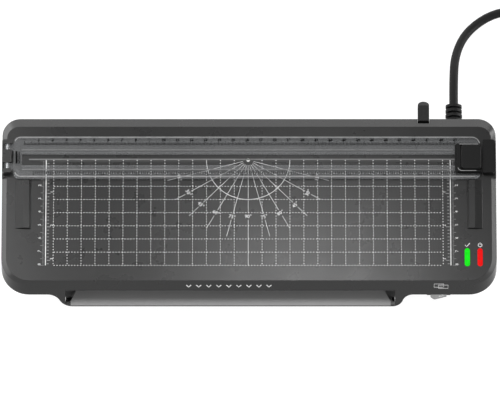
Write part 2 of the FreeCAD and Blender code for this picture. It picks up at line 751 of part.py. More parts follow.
def blade_and_holder():
    centre = "(slot_front + slot_rear) / 2"
    holder = block(("holder_left", "holder_right"), (f"{centre} - holder_half", f"{centre} + holder_half"),
                   ("holder_bottom", "head_bottom"))
    kerf = block(("blade_left", "blade_right"), (f"{centre} - blade_half", f"{centre} + blade_half"),
                 ("holder_bottom - 1", "head_bottom"))
    piece("blade_holder", cut(holder, kerf))
    middle = "(blade_left + blade_right) / 2"
    rear, front = f"-({centre} + blade_half)", f"-({centre} - blade_half)"
    piece("cutter_blade", prism("cutter_blade", "XZ", rear, front, [
        ("blade_left", "blade_tip + 2.4"), (middle, "blade_tip"), ("blade_right", "blade_tip + 2.4"),
        ("blade_right", "head_bottom"), ("blade_left", "head_bottom"),
    ]))


def coil_spring(x, y, low, high, radius, wire, turns):
    """Round-wire compression spring standing on Z, between two levels."""
    helix = doc.addObject("Part::Helix", "helix")
    bind(helix, "Radius", radius)
    bind(helix, "Height", f"({high}) - ({low}) - 2 * {wire}")
    bind(helix, "Pitch", f"(({high}) - ({low}) - 2 * {wire}) / {turns}")
    section = doc.addObject("Part::Circle", "section")
    section.Placement = FreeCAD.Placement(V(), FreeCAD.Rotation(V(1, 0, 0), 90))
    bind(section, "Radius", wire)
    put(section, radius)
    spring = doc.addObject("Part::Sweep", "spring")
    spring.Sections = [section]
    spring.Spine = (helix, ["Edge1"])
    spring.Solid = True
    spring.Frenet = True
    return put(spring, x, y, f"({low}) + {wire}")


def head_springs():
    centre = "(slot_front + slot_rear) / 2"
    return piece("head_springs", group(*[
        coil_spring("head_spring_x", f"{centre} + {side} * head_spring_off",
                    "carriage_bottom + carriage_sheet", "head_top - 1",
                    "head_spring_radius", "head_spring_wire", 2.5)
        for side in (-1, 1)
    ]))


# ---------------------------------------------------------------- laminating unit

sizes(
    frame_front=-48, frame_rear=48, block_half=6, block_bottom=33.2, block_top=45, block_play=0.1,
    bush_outer=6, bush_flange=7.5, release_bush_outer=5, seat_under=48.8, seat_half=4,
    tie_radius=2.5, tie_front_y=-43, tie_front_z=12, tie_rear_y=42, tie_rear_z=14,
    tie_top_y=43, tie_top_z=45, frame_screw_radius=3,
    idler_y=-18.5, idler_z=16.7, idler_pin=2, pinion_y=-34.55, pinion_z=22.3,
)

TIES = (("tie_front_y", "tie_front_z"), ("tie_rear_y", "tie_rear_z"), ("tie_top_y", "tie_top_z"))


def side_frames():
    """Steel side plates. The slot above the nip guides the upper roller's bearing block."""
    for label, left, seat_low, seat_high in (
        ("side_frame_left", "frame_left", "frame_left - 2", "frame_left + 2.6"),
        ("side_frame_right", "frame_right", "frame_right - 2", "frame_right + frame_sheet + 0.4"),
    ):
        holes = [(0, "lower_axis", "bush_outer"), ("release_y", "release_z", "release_bush_outer")]
        holes += [(y, z, "1.6") for y, z in TIES]
        if label == "side_frame_right":
            holes.append(("idler_y", "idler_z", "idler_pin"))
        plate = prism(label + "_plate", "YZ", left, f"{left} + frame_sheet", [
            ("frame_front", "frame_bottom"), ("frame_rear", "frame_bottom"),
            ("frame_rear", "frame_top"), ("-20", "frame_top"), ("frame_front", "34"),
        ], holes)
        slot = block((f"{left} - 1", f"{left} + frame_sheet + 1"),
                     ("-block_half - block_play", "block_half + block_play"),
                     ("block_bottom - 0.2", "seat_under"))
        seat = block((seat_low, seat_high), ("-seat_half", "seat_half"), ("seat_under", "frame_top"))
        foot_low, foot_high = (left, f"{left} + 8") if label == "side_frame_left" else (f"{left} - 6.5",
                                                                                       f"{left} + frame_sheet")
        foot = block((foot_low, foot_high), ("frame_front", "frame_rear"),
                     ("frame_bottom", "frame_bottom + frame_sheet"))
        piece(label, fuse(cut(plate, slot), seat, foot))


def tie_bars():
    return piece("tie_bars", group(*[
        rod("x", at, "frame_left + frame_sheet", "frame_right", "tie_radius") for at in TIES
    ]))


def frame_screws():
    """Screws through the side plates into the ends of the tie bars."""
    screws = []
    for at in TIES:
        for low, high in (("frame_left - 2", "frame_left"),
                          ("frame_right + frame_sheet", "frame_right + frame_sheet + 2")):
            screws.append(rod("x", at, low, high, "frame_screw_radius"))
        screws.append(rod("x", at, "frame_left", "frame_left + frame_sheet", "1.6"))
        screws.append(rod("x", at, "frame_right", "frame_right + frame_sheet", "1.6"))
    left = [fuse(screws[n], screws[n + 2]) for n in range(0, len(screws), 4)]
    right = [fuse(screws[n + 1], screws[n + 3]) for n in range(0, len(screws), 4)]
    return piece("frame_screws", group(*left, *right))


sizes(sleeve_left=-133.5, sleeve_right=106.5, shaft_left=-143, shaft_right=120.3)


def flanged_bush(low, high, flange_low, flange_high, at, outer, flange, bore):
    """Plain bearing in a side plate, with its flange on the outside."""
    sleeve = rod("x", at, low, high, outer)
    rim = rod("x", at, flange_low, flange_high, flange)
    return cut(fuse(sleeve, rim), rod("x", at, f"{flange_low} - 9", f"{high} + 9", bore))


def bushes():
    frame_left_face = "frame_left + frame_sheet"
    frame_right_face = "frame_right + frame_sheet"
    for label, at, outer, flange, bore in (
        ("lower_roller_bushes", (0, "lower_axis"), "bush_outer", "bush_flange", "shaft_radius + running"),
        ("release_shaft_bushes", ("release_y", "release_z"), "release_bush_outer",
         "release_bush_outer + 1.2", "release_radius + running"),
    ):
        left = flanged_bush("frame_left - 1.2", frame_left_face, "frame_left - 1.2", "frame_left",
                            at, outer, flange, bore)
        right = flanged_bush("frame_right", f"{frame_right_face} + 0.8", frame_right_face,
                             f"{frame_right_face} + 0.8", at, outer, flange, bore)
        piece(label, group(left, right))


def rollers():
    """Steel shafts in thick rubber sleeves, above and below the nip."""
    for name, level in (("lower", "lower_axis"), ("upper", "upper_axis")):
        piece(f"{name}_roller_shaft", rod("x", (0, level), "shaft_left", "shaft_right", "shaft_radius"))
        sleeve = cut(rod("x", (0, level), "sleeve_left", "sleeve_right", "roller_radius"),
                     rod("x", (0, level), "sleeve_left - 1", "sleeve_right + 1", "shaft_radius + 0.02"))
        piece(f"{name}_roller_sleeve", sleeve)


def bearing_blocks():
    """Sliding blocks that carry the upper roller. Each has a tail over a release cam."""
    blocks = []
    for left, flange in (("frame_left", "frame_left + frame_sheet + 0.1"),
                         ("frame_right", "frame_right - 1.6")):
        slide = block((f"{left} - 0.8", f"{left} + frame_sheet + 0.1"),
                      ("-block_half", "block_half"), ("block_bottom", "block_top"))
        guide = block((flange, f"{flange} + 1.5"), ("-block_half - 1.4", "block_half + 1.4"),
                      ("block_bottom", "block_top"))
        tail = block((flange, f"{flange} + 1.5"), ("block_half", "release_y + 3"),
                     ("release_z + cam_radius - cam_rest + 0.3", "block_top + 3.4"))
        if left == "frame_right":
            slide = block((f"{left} - 0.1", f"{left} + frame_sheet + 0.2"),
                          ("-block_half", "block_half"), ("block_bottom", "block_top"))
        bore = rod("x", (0, "upper_axis"), f"{left} - 9", f"{left} + 9", "shaft_radius + running")
        blocks.append(cut(fuse(slide, guide, tail), bore))
    return piece("upper_bearing_blocks", group(*blocks))


def pressure_springs():
    return piece("pressure_springs", group(
        coil_spring("frame_left + 0.3", 0, "block_top", "seat_under", 1.4, 0.35, 2.5),
        coil_spring("frame_right + 0.1", 0, "block_top", "seat_under", 1.4, 0.35, 2.5),
    ))


# Release cams: circles set off from the shaft. cam_offset swings from cam_start to 90 degrees off
# straight down as the lever goes through its travel, so the blocks rise almost evenly.
sizes(cam_radius=6, cam_offset=2.6, cam_start=65)
sizes(cam_rest=worth("cam_offset * cos(cam_start * 1 deg)"),
      cam_back=worth("cam_offset * sin(cam_start * 1 deg)"))


def release_shaft():
    shaft = rod("x", ("release_y", "release_z"), "-142", "134", "release_radius")
    centre = ("release_y - cam_back", "release_z - cam_rest")
    cams = [
        rod("x", centre, low, high, "cam_radius")
        for low, high in (("frame_left + frame_sheet + 0.2", "frame_left + frame_sheet + 3"),
                          ("frame_right - 3", "frame_right - 0.2"))
    ]
    return piece("release_shaft", fuse(shaft, *cams))


sizes(
    lever_left=121.9, lever_right=130.1, lever_plan_radius=4.1, lever_hub=6.2, lever_tip_y=74.9, lever_tip_z=50.6,
    lever_under=43.4, lever_neck_y=56, lever_neck_top=48.2, lever_neck_under=43.6,
)


def release_lever():
    """Moulded lever on the release shaft. Its round end stands out of the rear of the covers."""
    arm = prism("lever_arm", "YZ", "lever_left", "lever_right", [
        ("release_y - 1", "release_z + lever_hub - 0.2"),
        ("release_y + 4", "release_z - lever_hub + 1.6"),
        ("lever_neck_y", "lever_neck_under"), ("lever_tip_y - 3", "lever_under + 0.6"),
        ("lever_tip_y", "lever_under + 2.4"), ("lever_tip_y", "lever_tip_z - 2.6"),
        ("lever_tip_y - 4.4", "lever_tip_z + 1.6"), ("lever_neck_y + 3.4", "lever_neck_top + 2.6"),
        ("lever_neck_y + 0.8", "lever_neck_top"), ("release_y + 17", "release_z + 8.4"),
    ])
    depth = ("release_z - 20", "release_z + 20")
    tip = ("(lever_left + lever_right) / 2", "lever_tip_y - lever_plan_radius")
    plan = fuse(
        block(("lever_left", "lever_right"), ("release_y - 2", "lever_tip_y - lever_plan_radius"), depth),
        rod("z", tip, *depth, "lever_plan_radius"),
    )
    hub = rod("x", ("release_y", "release_z"), "lever_left", "lever_right", "lever_hub")
    bore = rod("x", ("release_y", "release_z"), "lever_left - 1", "lever_right + 1",
               "release_radius + 0.02")
    return piece("release_lever", cut(fuse(common(arm, plan), hub), bore))


# ---------------------------------------------------------------- gears

sizes(gear_left=113.7, gear_right=119.3, tooth_size=1, roller_teeth=18, idler_teeth=20, pinion_teeth=14,
      tooth_tip=0.8, tooth_root=1.1, tooth_play=0.2)
PRESSURE_ANGLE = math.radians(20)


def involute(angle):
    return math.tan(angle) - angle


def gear_outline(teeth, phase):
    """Closed outline in (u, v), with one tooth centred at the phase, in degrees."""
    pitch = teeth * worth("tooth_size") / 2
    base = pitch * math.cos(PRESSURE_ANGLE)
    tip, root = pitch + worth("tooth_tip"), pitch - worth("tooth_root")
    half = math.pi / (2 * teeth) - worth("tooth_play") / (2 * pitch)
    start = max(base, root)
    flank = [(root, half + involute(PRESSURE_ANGLE))] if root < base else []
    for step in range(5):
        radius = start + (tip - start) * step / 4
        spread = half + involute(PRESSURE_ANGLE) - involute(math.acos(min(1, base / radius)))
        flank.append((radius, spread))
    points = []
    for tooth in range(teeth):
        centre = math.radians(phase) + 2 * math.pi * tooth / teeth
        rising = [(radius, centre - spread) for radius, spread in flank]
        falling = [(radius, centre + spread) for radius, spread in reversed(flank)]
        points += [V(r * math.cos(a), r * math.sin(a), 0) for r, a in rising + falling]
    return Part.makePolygon(points + [points[0]])


def gear(label, teeth, at, phase, bore, extra=None):
    """Spur gear across the side frame, on an axis along X. phase is measured from +Y towards +Z."""
    blank = Part.Face(gear_outline(int(worth(teeth)), phase))
    solid = blank.extrude(V(0, 0, worth("gear_right - gear_left")))
    if bore is not None:
        solid = solid.cut(Part.makeCylinder(worth(bore), 20, V(0, 0, -5)))
    if extra is not None:
        solid = solid.fuse(extra).removeSplitter()
    wheel = doc.addObject("Part::Feature", label)
    wheel.Shape = solid
    stand = FreeCAD.Rotation(V(0, 1, 0), V(0, 0, 1), V(1, 0, 0), "XYZ")
    place = V(worth("gear_left"), worth(at[0]), worth(at[1]))
    wheel.Placement = FreeCAD.Placement(place, stand)
    return piece(label, wheel)


def meshed_phase(driver_phase, driver_teeth, follower_teeth, direction):
    """Phase of a gear whose gap meets the driver's tooth. direction points from driver to follower."""
    behind = direction - driver_phase
    gap = direction + 180 + behind * driver_teeth / follower_teeth
    return gap + 180 / follower_teeth


def bearing(one, other):
    """Direction in degrees from one (Y, Z) centre to another."""
    return math.degrees(math.atan2(worth(other[1]) - worth(one[1]), worth(other[0]) - worth(one[0])))


def gear_train():
    """Pinion, idler and the two roller gears, all in mesh at rest."""
    lower, upper = (0, "lower_axis"), (0, "upper_axis")
    idler, pinion = ("idler_y", "idler_z"), ("pinion_y", "pinion_z")
    z_roller, z_idler, z_pinion = (worth(f"{name}_teeth") for name in ("roller", "idler", "pinion"))
    lower_phase = 90.0
    upper_phase = meshed_phase(lower_phase, z_roller, z_roller, bearing(lower, upper))
    idler_phase = meshed_phase(lower_phase, z_roller, z_idler, bearing(lower, idler))
    pinion_phase = meshed_phase(idler_phase, z_idler, z_pinion, bearing(idler, pinion))
    for one, other, need in ((lower, idler, z_roller + z_idler), (idler, pinion, z_idler + z_pinion)):
        apart = math.hypot(worth(other[0]) - worth(one[0]), worth(other[1]) - worth(one[1]))
        print("gear centres", round(apart, 3), "pitch sum", need * worth("tooth_size") / 2)
    gear("lower_roller_gear", "roller_teeth", lower, lower_phase, "shaft_radius + 0.02")
    gear("upper_roller_gear", "roller_teeth", upper, upper_phase, "shaft_radius + 0.02")
    gear("idler_gear", "idler_teeth", idler, idler_phase, "idler_pin + running")
    stub = Part.makeCylinder(2, worth("motor_front - gear_left + 1.4"), V(0, 0, 0))
    gear("motor_pinion", "pinion_teeth", pinion, pinion_phase, None, stub)


def idler_axle():
    pin = rod("x", ("idler_y", "idler_z"), "frame_right", "gear_right + 0.4", "idler_pin")
    clip = rod("x", ("idler_y", "idler_z"), "gear_right + 0.4", "gear_right + 1", "idler_pin + 1.2")
    return piece("idler_axle", fuse(pin, clip))


# ---------------------------------------------------------------- motor, heaters and electrics

sizes(
    motor_front=120.4, motor_sheet=1.6, motor_long=19, motor_radius=18.5, motor_y=-30, motor_z=27.5,
    stand_front=-50.5, stand_rear=-9, stand_top=47, stand_foot=10,
    shoe_front=-45, shoe_rear=-14, shoe_gap=0.7, shoe_tall=5.6, heater_left=-125, heater_right=98,
    heater_front=-42, heater_rear=-17, heater_sheet=2.4, shield_sheet=0.8, shield_under=42.2,
)


def motor_bracket():
    """Steel plate that stands on the base and holds the gear motor."""
    rear = "motor_front + motor_sheet"
    plate = block(("motor_front", rear), ("stand_front", "stand_rear"), ("base_floor", "stand_top"))
    foot = block(("motor_front", "motor_front + stand_foot"), ("stand_front", "stand_rear"),
                 ("base_floor", "base_floor + motor_sheet"))
    bore = rod("x", ("pinion_y", "pinion_z"), "motor_front - 1", f"{rear} + 1", "2 + running")
    return piece("motor_bracket", cut(fuse(plate, foot), bore))


def gear_motor():
    """Flat synchronous motor with its gearbox lid and two tabs."""
    front = "motor_front + motor_sheet"
    at = ("motor_y", "motor_z")
    can = rod("x", at, front, f"{front} + motor_long", "motor_radius")
    lid = rod("x", at, f"{front} + motor_long", f"{front} + motor_long + 1.5", "motor_radius - 2")
    collar = rod("x", at, f"{front} + 7", f"{front} + 8", "motor_radius + 0.6")
    shaft_room = rod("x", ("pinion_y", "pinion_z"), f"{front} - 1", f"{front} + 1.2", "2.4")
    tabs = block((front, f"{front} + 1"), ("stand_front + 0.5", "stand_rear - 1"),
                 ("motor_z - 3", "motor_z + 3"))
    return piece("gear_motor", cut(fuse(can, lid, collar, tabs), shaft_room))


def heat_shoes():
    """Aluminium plates, one each side of the pouch path, with a flared entry and cooling ribs."""
    for name, low, high, nose in (
        ("lower", "nip_level - shoe_gap - shoe_tall", "nip_level - shoe_gap", -1),
        ("upper", "nip_level + shoe_gap", "nip_level + shoe_gap + shoe_tall", 1),
    ):
        inner, outer = (high, low) if nose < 0 else (low, high)
        corners = [
            ("shoe_front", f"({inner}) + {nose} * 2.4"), ("shoe_front + 4", inner),
            ("shoe_rear", inner), ("shoe_rear", f"({inner}) + {nose} * 3"),
            ("heater_rear + 1", outer), ("shoe_front", outer),
        ]
        plate = prism(f"{name}_shoe", "YZ", "frame_left + frame_sheet", "frame_right",
                      corners if nose > 0 else corners[::-1])
        piece(f"{name}_heat_shoe", plate)
        seat, top = (f"{low} - heater_sheet", low) if nose < 0 else (high, f"{high} + heater_sheet")
        piece(f"{name}_heater", block(("heater_left", "heater_right"), ("heater_front", "heater_rear"),
                                      (seat, top)))


def heat_shield():
    """Folded sheet over the upper heater."""
    top = block(("frame_left + frame_sheet", "frame_right"), ("shoe_front", "shoe_rear + 2"),
                ("shield_under", "shield_under + shield_sheet"))
    skirt = block(("frame_left + frame_sheet", "frame_right"), ("shoe_front", "shoe_front + shield_sheet"),
                  ("shield_under - 3.7", "shield_under + shield_sheet"))
    return piece("heat_shield", fuse(top, skirt))


sizes(
    cutout_x=-20, fuse_x=44, cutout_y=-30, cutout_radius=6.5, ear_reach=11, ear_half=2.5, ear_sheet=0.8,
    fuse_half=6, fuse_radius=1.5, lead_reach=13, lead_radius=0.5,
)


def thermal_cutouts():
    """Thermostat and one-shot fuse on the upper heater."""
    seat = "nip_level + shoe_gap + shoe_tall + heater_sheet"
    can = rod("z", ("cutout_x", "cutout_y"), seat, "shield_under", "cutout_radius")
    ears = block(("cutout_x - ear_reach", "cutout_x + ear_reach"),
                 ("cutout_y - ear_half", "cutout_y + ear_half"), (seat, f"{seat} + ear_sheet"))
    at = ("cutout_y", f"{seat} + fuse_radius + 0.1")
    body = rod("x", at, "fuse_x - fuse_half", "fuse_x + fuse_half", "fuse_radius")
    leads = rod("x", at, "fuse_x - lead_reach", "fuse_x + lead_reach", "lead_radius")
    return piece("thermal_cutouts", group(fuse(can, ears), fuse(body, leads)))


sizes(
    board_left=126, board_right=164, board_front=-4, board_rear=39, board_level=8, board_sheet=1.6,
    leg_in=3, leg_half=2.5, lamp_board_left=151.6, lamp_board_right=171, lamp_board_front=-54,
    lamp_board_rear=-37.6, lamp_board_under=44.4, lamp_radius=1.6,
    terminal_left=132, terminal_right=158, terminal_front=42, terminal_rear=49, terminal_top=14,
    terminal_step=6.4, terminal_screw=2,
)


def control_board():
    """Board on four legs beside the motor, with a relay, two capacitors and a driver chip."""
    top = "board_level + board_sheet"
    plate = block(("board_left", "board_right"), ("board_front", "board_rear"), ("board_level", top))
    legs = [
        block((f"{x} - leg_half", f"{x} + leg_half"), (f"{y} - leg_half", f"{y} + leg_half"),
              ("base_floor", "board_level"))
        for x in ("board_left + leg_in", "board_right - leg_in")
        for y in ("board_front + leg_in + 1", "board_rear - leg_in - 1")
    ]
    relay = block(("board_left + 5", "board_left + 19"), ("board_front + 6", "board_front + 20"),
                  (top, f"{top} + 14.4"))
    large_capacitor = rod("z", ("board_left + 29", "board_front + 12"), top, f"{top} + 12.4", "4")
    small_capacitor = rod("z", ("board_left + 34", "board_front + 23"), top, f"{top} + 8.4", "3")
    chip = block(("board_left + 24", "board_left + 32"), ("board_front + 28", "board_front + 36"),
                 (top, f"{top} + 2.4"))
    return piece("control_board", fuse(plate, *legs, relay, large_capacitor, small_capacitor, chip))


def led_board():
    """Small board under the two lenses, with a lamp below each."""
    board = block(("lamp_board_left", "lamp_board_right"), ("lamp_board_front", "lamp_board_rear"),
                  ("lamp_board_under", "lamp_board_under + board_sheet"))
    lamps = [
        rod("z", (x, "(lens_front + lens_rear) / 2"), "lamp_board_under + board_sheet", "deck_top - 5.3",
            "lamp_radius")
        for x in ("lens_green_x", "lens_red_x")
    ]
    return piece("led_board", fuse(board, *lamps))


def terminal_block():
    """Four screw terminals where the mains lead is joined to the board's wires."""
    bar = block(("terminal_left", "terminal_right"), ("terminal_front", "terminal_rear"),
                ("base_floor", "terminal_top"))
    screws = [
        rod("z", (f"terminal_left + 3.4 + {n} * terminal_step", "(terminal_front + terminal_rear) / 2"),
            "terminal_top", "terminal_top + 1.4", "terminal_screw")
        for n in range(4)
    ]
    return piece("terminal_block", fuse(bar, *screws))


def wire_harness():
    """Sleeved bundle from the control board to the indicator board, clipped to the side wall."""
    points = [V(161, 36, 11.1), V(163, 22, 22), V(165, -8, 34), V(166, -37, 42.8)]
    radius = 1.4
    edges = []
    at = points[0]
    for before, corner, after in zip(points, points[1:], points[2:]):
        arc_start, arc_end, arc, _ = rounded_corner(before, corner, after, 6)
        edges += [Part.LineSegment(at, arc_start).toShape(), arc.toShape()]
        at = arc_end
    edges.append(Part.LineSegment(at, points[-1]).toShape())
    path = Part.Wire(edges)
    bundle = doc.addObject("Part::Feature", "wire_harness")
    bundle.Shape = swept_tube(path, radius)
    bundle.Placement = FreeCAD.Placement()
    return piece("wire_harness", bundle)


# ---------------------------------------------------------------- power switch

sizes(rocker_x=136.4, rocker_y=-63, rocker_tip_x=133.5, rocker_tip_y=-68.7, rocker_half=5.8,
      rocker_bottom=26.6, rocker_top=37.7, trunnion=1.2)


def power_switch():
    """Housing in the base's front wall, and a rocker that tips about an upright pin."""
    housing = block(("switch_left", "switch_right"), ("switch_front", "-52"),
                    ("switch_bottom", "switch_top"))
    room = block(("switch_left + 1.1", "switch_right - 1.1"), ("switch_front - 1", "-56.5"),
                 ("rocker_bottom - 0.4", "rocker_top + 0.4"))
    bores = rod("z", ("rocker_x", "rocker_y"), "switch_bottom + 0.4", "switch_top - 0.4",
                "trunnion + running")
    tabs = [block((f"{x} - 0.5", f"{x} + 0.5"), ("-52", "-49.5"), ("30", "34")) for x in (133, 140)]
    piece("switch_housing", fuse(cut(housing, room, bores), *tabs))
    rocker = prism("rocker", "XY", "rocker_bottom", "rocker_top", [
        ("rocker_x - rocker_half", "rocker_y - 4"), ("rocker_tip_x - 0.5", "rocker_tip_y"),
        ("rocker_tip_x + 0.5", "rocker_tip_y"), ("rocker_x + rocker_half", "rocker_y - 3.6"),
        ("rocker_x + rocker_half", "rocker_y + 1"), ("rocker_x", "rocker_y + 3"),
        ("rocker_x - rocker_half", "rocker_y + 1"),
    ])
    pins = rod("z", ("rocker_x", "rocker_y"), "switch_bottom + 0.6", "switch_top - 0.6", "trunnion")
    piece("power_rocker", fuse(rocker, pins))


# ---------------------------------------------------------------- mains lead

sizes(relief_start=50, relief_end=81.4, relief_root=6.3, relief_neck=4.5, relief_flange=7,
      rib_first=14.5, rib_pitch=3.6, rib_fall=0.1)


def strain_relief():
    """Tapered rubber sleeve with five ribs, held in the rear wall by a groove."""
    bore = "cord_diameter / 2"
    profile = [
        (bore, 0), ("relief_flange", 0), ("relief_flange", "1.6"), ("relief_hole", "1.6"),
        ("relief_hole", "7.7"), ("relief_flange", "7.7"), ("relief_flange", "9.2"),
    ]
    for rib in range(5):
        start = f"rib_first + {rib} * rib_pitch"
        crest = f"relief_root - {rib} * rib_fall"
        neck = f"relief_neck - {rib} * rib_fall"
        profile += [(neck, f"{start} - 0.5"), (crest, start), (crest, f"{start} + 1.9"),
                    (neck, f"{start} + 2.3")]
    profile += [("relief_neck - 0.8", "relief_end - relief_start"), (bore, "relief_end - relief_start")]
    body = turned("strain_relief", "XY", profile, ("relief_x", "relief_start", "relief_z"))
    return piece("strain_relief", body)


sizes(plug_long=32, plug_half=10, plug_pin_long=17.5, plug_pin_half=3.1, plug_pin_sheet=0.75,
      plug_axis_z=9.6)

# The lead's route where it isn't coiled: level out of the sleeve, down to the floor, then to the coil.
COIL_CENTRE = V(233, 116, 0)
COIL_MID, COIL_LAYERS, COIL_TURNS = 35.0, 2, 3
CORD_ROUTE = (
    V(148.6, 81.4, 22), V(148.6, 101, 20.6), V(150.2, 125, 11.2), V(159.5, 146, 3.8),
    V(180, 160.5, 3.2), V(204, 161.5, 3.2), V(226, 158.2, 3.2),
)
TAIL = 27.0
OUTER_TURN = COIL_MID + (COIL_TURNS - 1) / 2 * worth("cord_diameter")


def rounded_corner(before, corner, after, radius=None):
    """Arc in a corner of a route: radius 0.45 of the shorter run over the tangent of half the turn."""
    back, ahead = before - corner, after - corner
    turn = math.pi - back.getAngle(ahead)
    if radius is None:
        radius = 0.45 * min(back.Length, ahead.Length) / math.tan(turn / 2)
    reach = radius * math.tan(turn / 2)
    start = corner + V(back).normalize() * reach
    end = corner + V(ahead).normalize() * reach
    bisector = (V(back).normalize() + V(ahead).normalize()).normalize()
    centre = corner + bisector * (radius / math.cos(turn / 2))
    middle = centre - bisector * radius
    return start, end, Part.Arc(start, middle, end), radius


def swept_tube(path, radius):
    start = path.OrderedVertexes[0].Point
    way = path.OrderedEdges[0].tangentAt(path.OrderedEdges[0].FirstParameter)
    ring = Part.Wire(Part.makeCircle(radius, start, way))
    tube = path.makePipeShell([ring], True, True)
    section = math.pi * radius ** 2 * path.Length
    print("tube volume", round(tube.Volume, 1), "section times length", round(section, 1))
    return tube


def power_cord():
    """The stretch of the mains lead between the strain relief and the coil."""
    edges = []
    at = CORD_ROUTE[0]
    for before, corner, after in zip(CORD_ROUTE, CORD_ROUTE[1:], CORD_ROUTE[2:]):
        start, end, arc, radius = rounded_corner(before, corner, after)
        print("bend radius", round(radius, 1), "run", round(corner.distanceToPoint(before), 1))
        if (start - at).Length > 1e-6:
            edges.append(Part.LineSegment(at, start).toShape())
        edges.append(arc.toShape())
        at = end
    edges.append(Part.LineSegment(at, CORD_ROUTE[-1]).toShape())
    path = Part.Wire(edges)
    print("cord length to the coil", round(path.Length, 1))
    lead = doc.addObject("Part::Feature", "power_cord")
    lead.Shape = swept_tube(path, worth("cord_diameter / 2"))
    lead.Placement = FreeCAD.Placement()
    return piece("power_cord", lead)


def cord_tail():
    """Short straight end that leaves the top of the coil's outer turn for the plug.

    It is a shade thinner than the lead, so that its side cuts the ring's side instead of touching it.
    """
    at = (COIL_CENTRE.x + OUTER_TURN - 0.1, "plug_axis_z")
    return rod("y", at, COIL_CENTRE.y - TAIL, COIL_CENTRE.y - 2, "cord_diameter / 2 - 0.2")


def cord_coil():
    """Outer shape of the neat coil: three turns beside each other in two layers, and its tail."""
    half = COIL_TURNS / 2
    inner, outer = (f"{COIL_MID} {sign} {half} * cord_diameter" for sign in "-+")
    at = (COIL_CENTRE.x, COIL_CENTRE.y)
    ring = cut(rod("z", at, 0, f"{COIL_LAYERS} * cord_diameter", outer),
               rod("z", at, -1, f"{COIL_LAYERS} * cord_diameter + 1", inner))
    soft = rounded(ring, "2.8", lambda edge: edge.Curve.TypeId == "Part::GeomCircle")
    return piece("cord_coil", fuse(soft, cord_tail()))


def cord_tie():
    """Band round the coil's turns."""
    half = f"{COIL_TURNS} / 2 * cord_diameter"
    tall = f"{COIL_LAYERS} * cord_diameter"
    x, y = COIL_CENTRE.x, COIL_CENTRE.y - COIL_MID
    band = cut(
        block((f"{x} - 4", f"{x} + 4"), (f"{y} - ({half}) - 0.9", f"{y} + {half} + 0.9"),
              (0, f"{tall} + 1")),
        block((f"{x} - 5", f"{x} + 5"), (f"{y} - ({half})", f"{y} + {half} + 0.4"), (-1, tall)),
    )
    return piece("cord_tie", band)


def plug():
    """Generic two-blade plug, lying beside the coil on its flat side."""
    x = COIL_CENTRE.x + OUTER_TURN
    rear = COIL_CENTRE.y - TAIL
    face = f"{rear} - plug_long"
    body = prism("plug", "XY", "0", "2 * plug_axis_z", [
        (f"{x} - plug_half", f"{rear} - 12"), (f"{x} - plug_half", face), (f"{x} + plug_half", face),
        (f"{x} + plug_half", f"{rear} - 12"), (f"{x} + 5.2", rear), (f"{x} - 5.2", rear),
    ])
    piece("plug_body", rounded(body, "2.4", lambda edge: abs(edge.CenterOfMass.z - worth("plug_axis_z"))
                               < 0.1 and edge.CenterOfMass.y < rear - 1))
    blades = [
        block((f"{x + side * 6.35} - plug_pin_sheet", f"{x + side * 6.35} + plug_pin_sheet"),
              (f"{face} - plug_pin_long", face),
              ("plug_axis_z - plug_pin_half", "plug_axis_z + plug_pin_half"))
        for side in (-1, 1)
    ]
    piece("plug_pins", group(*blades))


# ---------------------------------------------------------------- build, check and write

top_cover()
base_cover()
rubber_feet()
base_screws()
feed_lip()
exit_guide()
lenses()
cutting_strip()
side_stops()
hinge_bracket()
hinge_pin()
latch_block()
arm_end_cap()
ruler_arm()
cutter_carriage()
cutter_head()
blade_and_holder()
head_springs()
side_frames()
tie_bars()
frame_screws()
bushes()
rollers()
bearing_blocks()
pressure_springs()
release_shaft()
release_lever()
gear_train()
idler_axle()
motor_bracket()
gear_motor()
heat_shoes()
heat_shield()
thermal_cutouts()
control_board()
led_board()
terminal_block()
wire_harness()
power_switch()
strain_relief()
power_cord()
cord_coil()
cord_tie()
plug()

doc.recompute()
failed = [o.Name for o in doc.Objects if "Invalid" in o.State or "Error" in o.State]
if failed:
    raise RuntimeError(f"these objects did not build: {failed}")
for label, obj in pieces.items():
    if obj.Shape.isNull() or not obj.Shape.isValid() or not obj.Shape.Solids:
        raise RuntimeError(f"{label} has no valid solid")

os.makedirs("parts", exist_ok=True)
for label, obj in pieces.items():
    obj.Shape.exportStep(f"parts/{label}.step")
print(len(pieces), "sub-parts")
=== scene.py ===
import json
import math

import bmesh
import bpy
from mathutils import Matrix, Vector


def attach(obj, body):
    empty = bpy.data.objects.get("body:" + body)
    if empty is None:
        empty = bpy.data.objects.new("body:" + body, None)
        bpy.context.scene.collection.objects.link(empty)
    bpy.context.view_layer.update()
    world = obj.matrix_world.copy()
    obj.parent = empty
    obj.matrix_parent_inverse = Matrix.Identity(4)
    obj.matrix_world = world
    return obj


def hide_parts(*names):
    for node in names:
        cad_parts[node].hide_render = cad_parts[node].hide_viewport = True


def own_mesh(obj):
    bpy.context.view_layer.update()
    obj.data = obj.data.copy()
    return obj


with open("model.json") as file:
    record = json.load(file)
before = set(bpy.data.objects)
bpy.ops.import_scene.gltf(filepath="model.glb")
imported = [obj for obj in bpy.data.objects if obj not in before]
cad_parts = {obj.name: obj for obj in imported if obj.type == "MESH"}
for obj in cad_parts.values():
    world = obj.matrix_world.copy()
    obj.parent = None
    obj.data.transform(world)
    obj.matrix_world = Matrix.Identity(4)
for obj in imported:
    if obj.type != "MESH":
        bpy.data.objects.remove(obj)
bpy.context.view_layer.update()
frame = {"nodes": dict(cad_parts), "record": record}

# Looks of a pouch laminator with a paper trimmer. The camera's aim, the mains lead and the prints are
# given in millimetres, and mm() and MM turn them into the frame's metres. Patterns, floor and lamps
# are given in metres. X runs along the mouth, Y to the rear, Z up.

MM = 0.001
nodes = frame["nodes"]
scene = bpy.context.scene


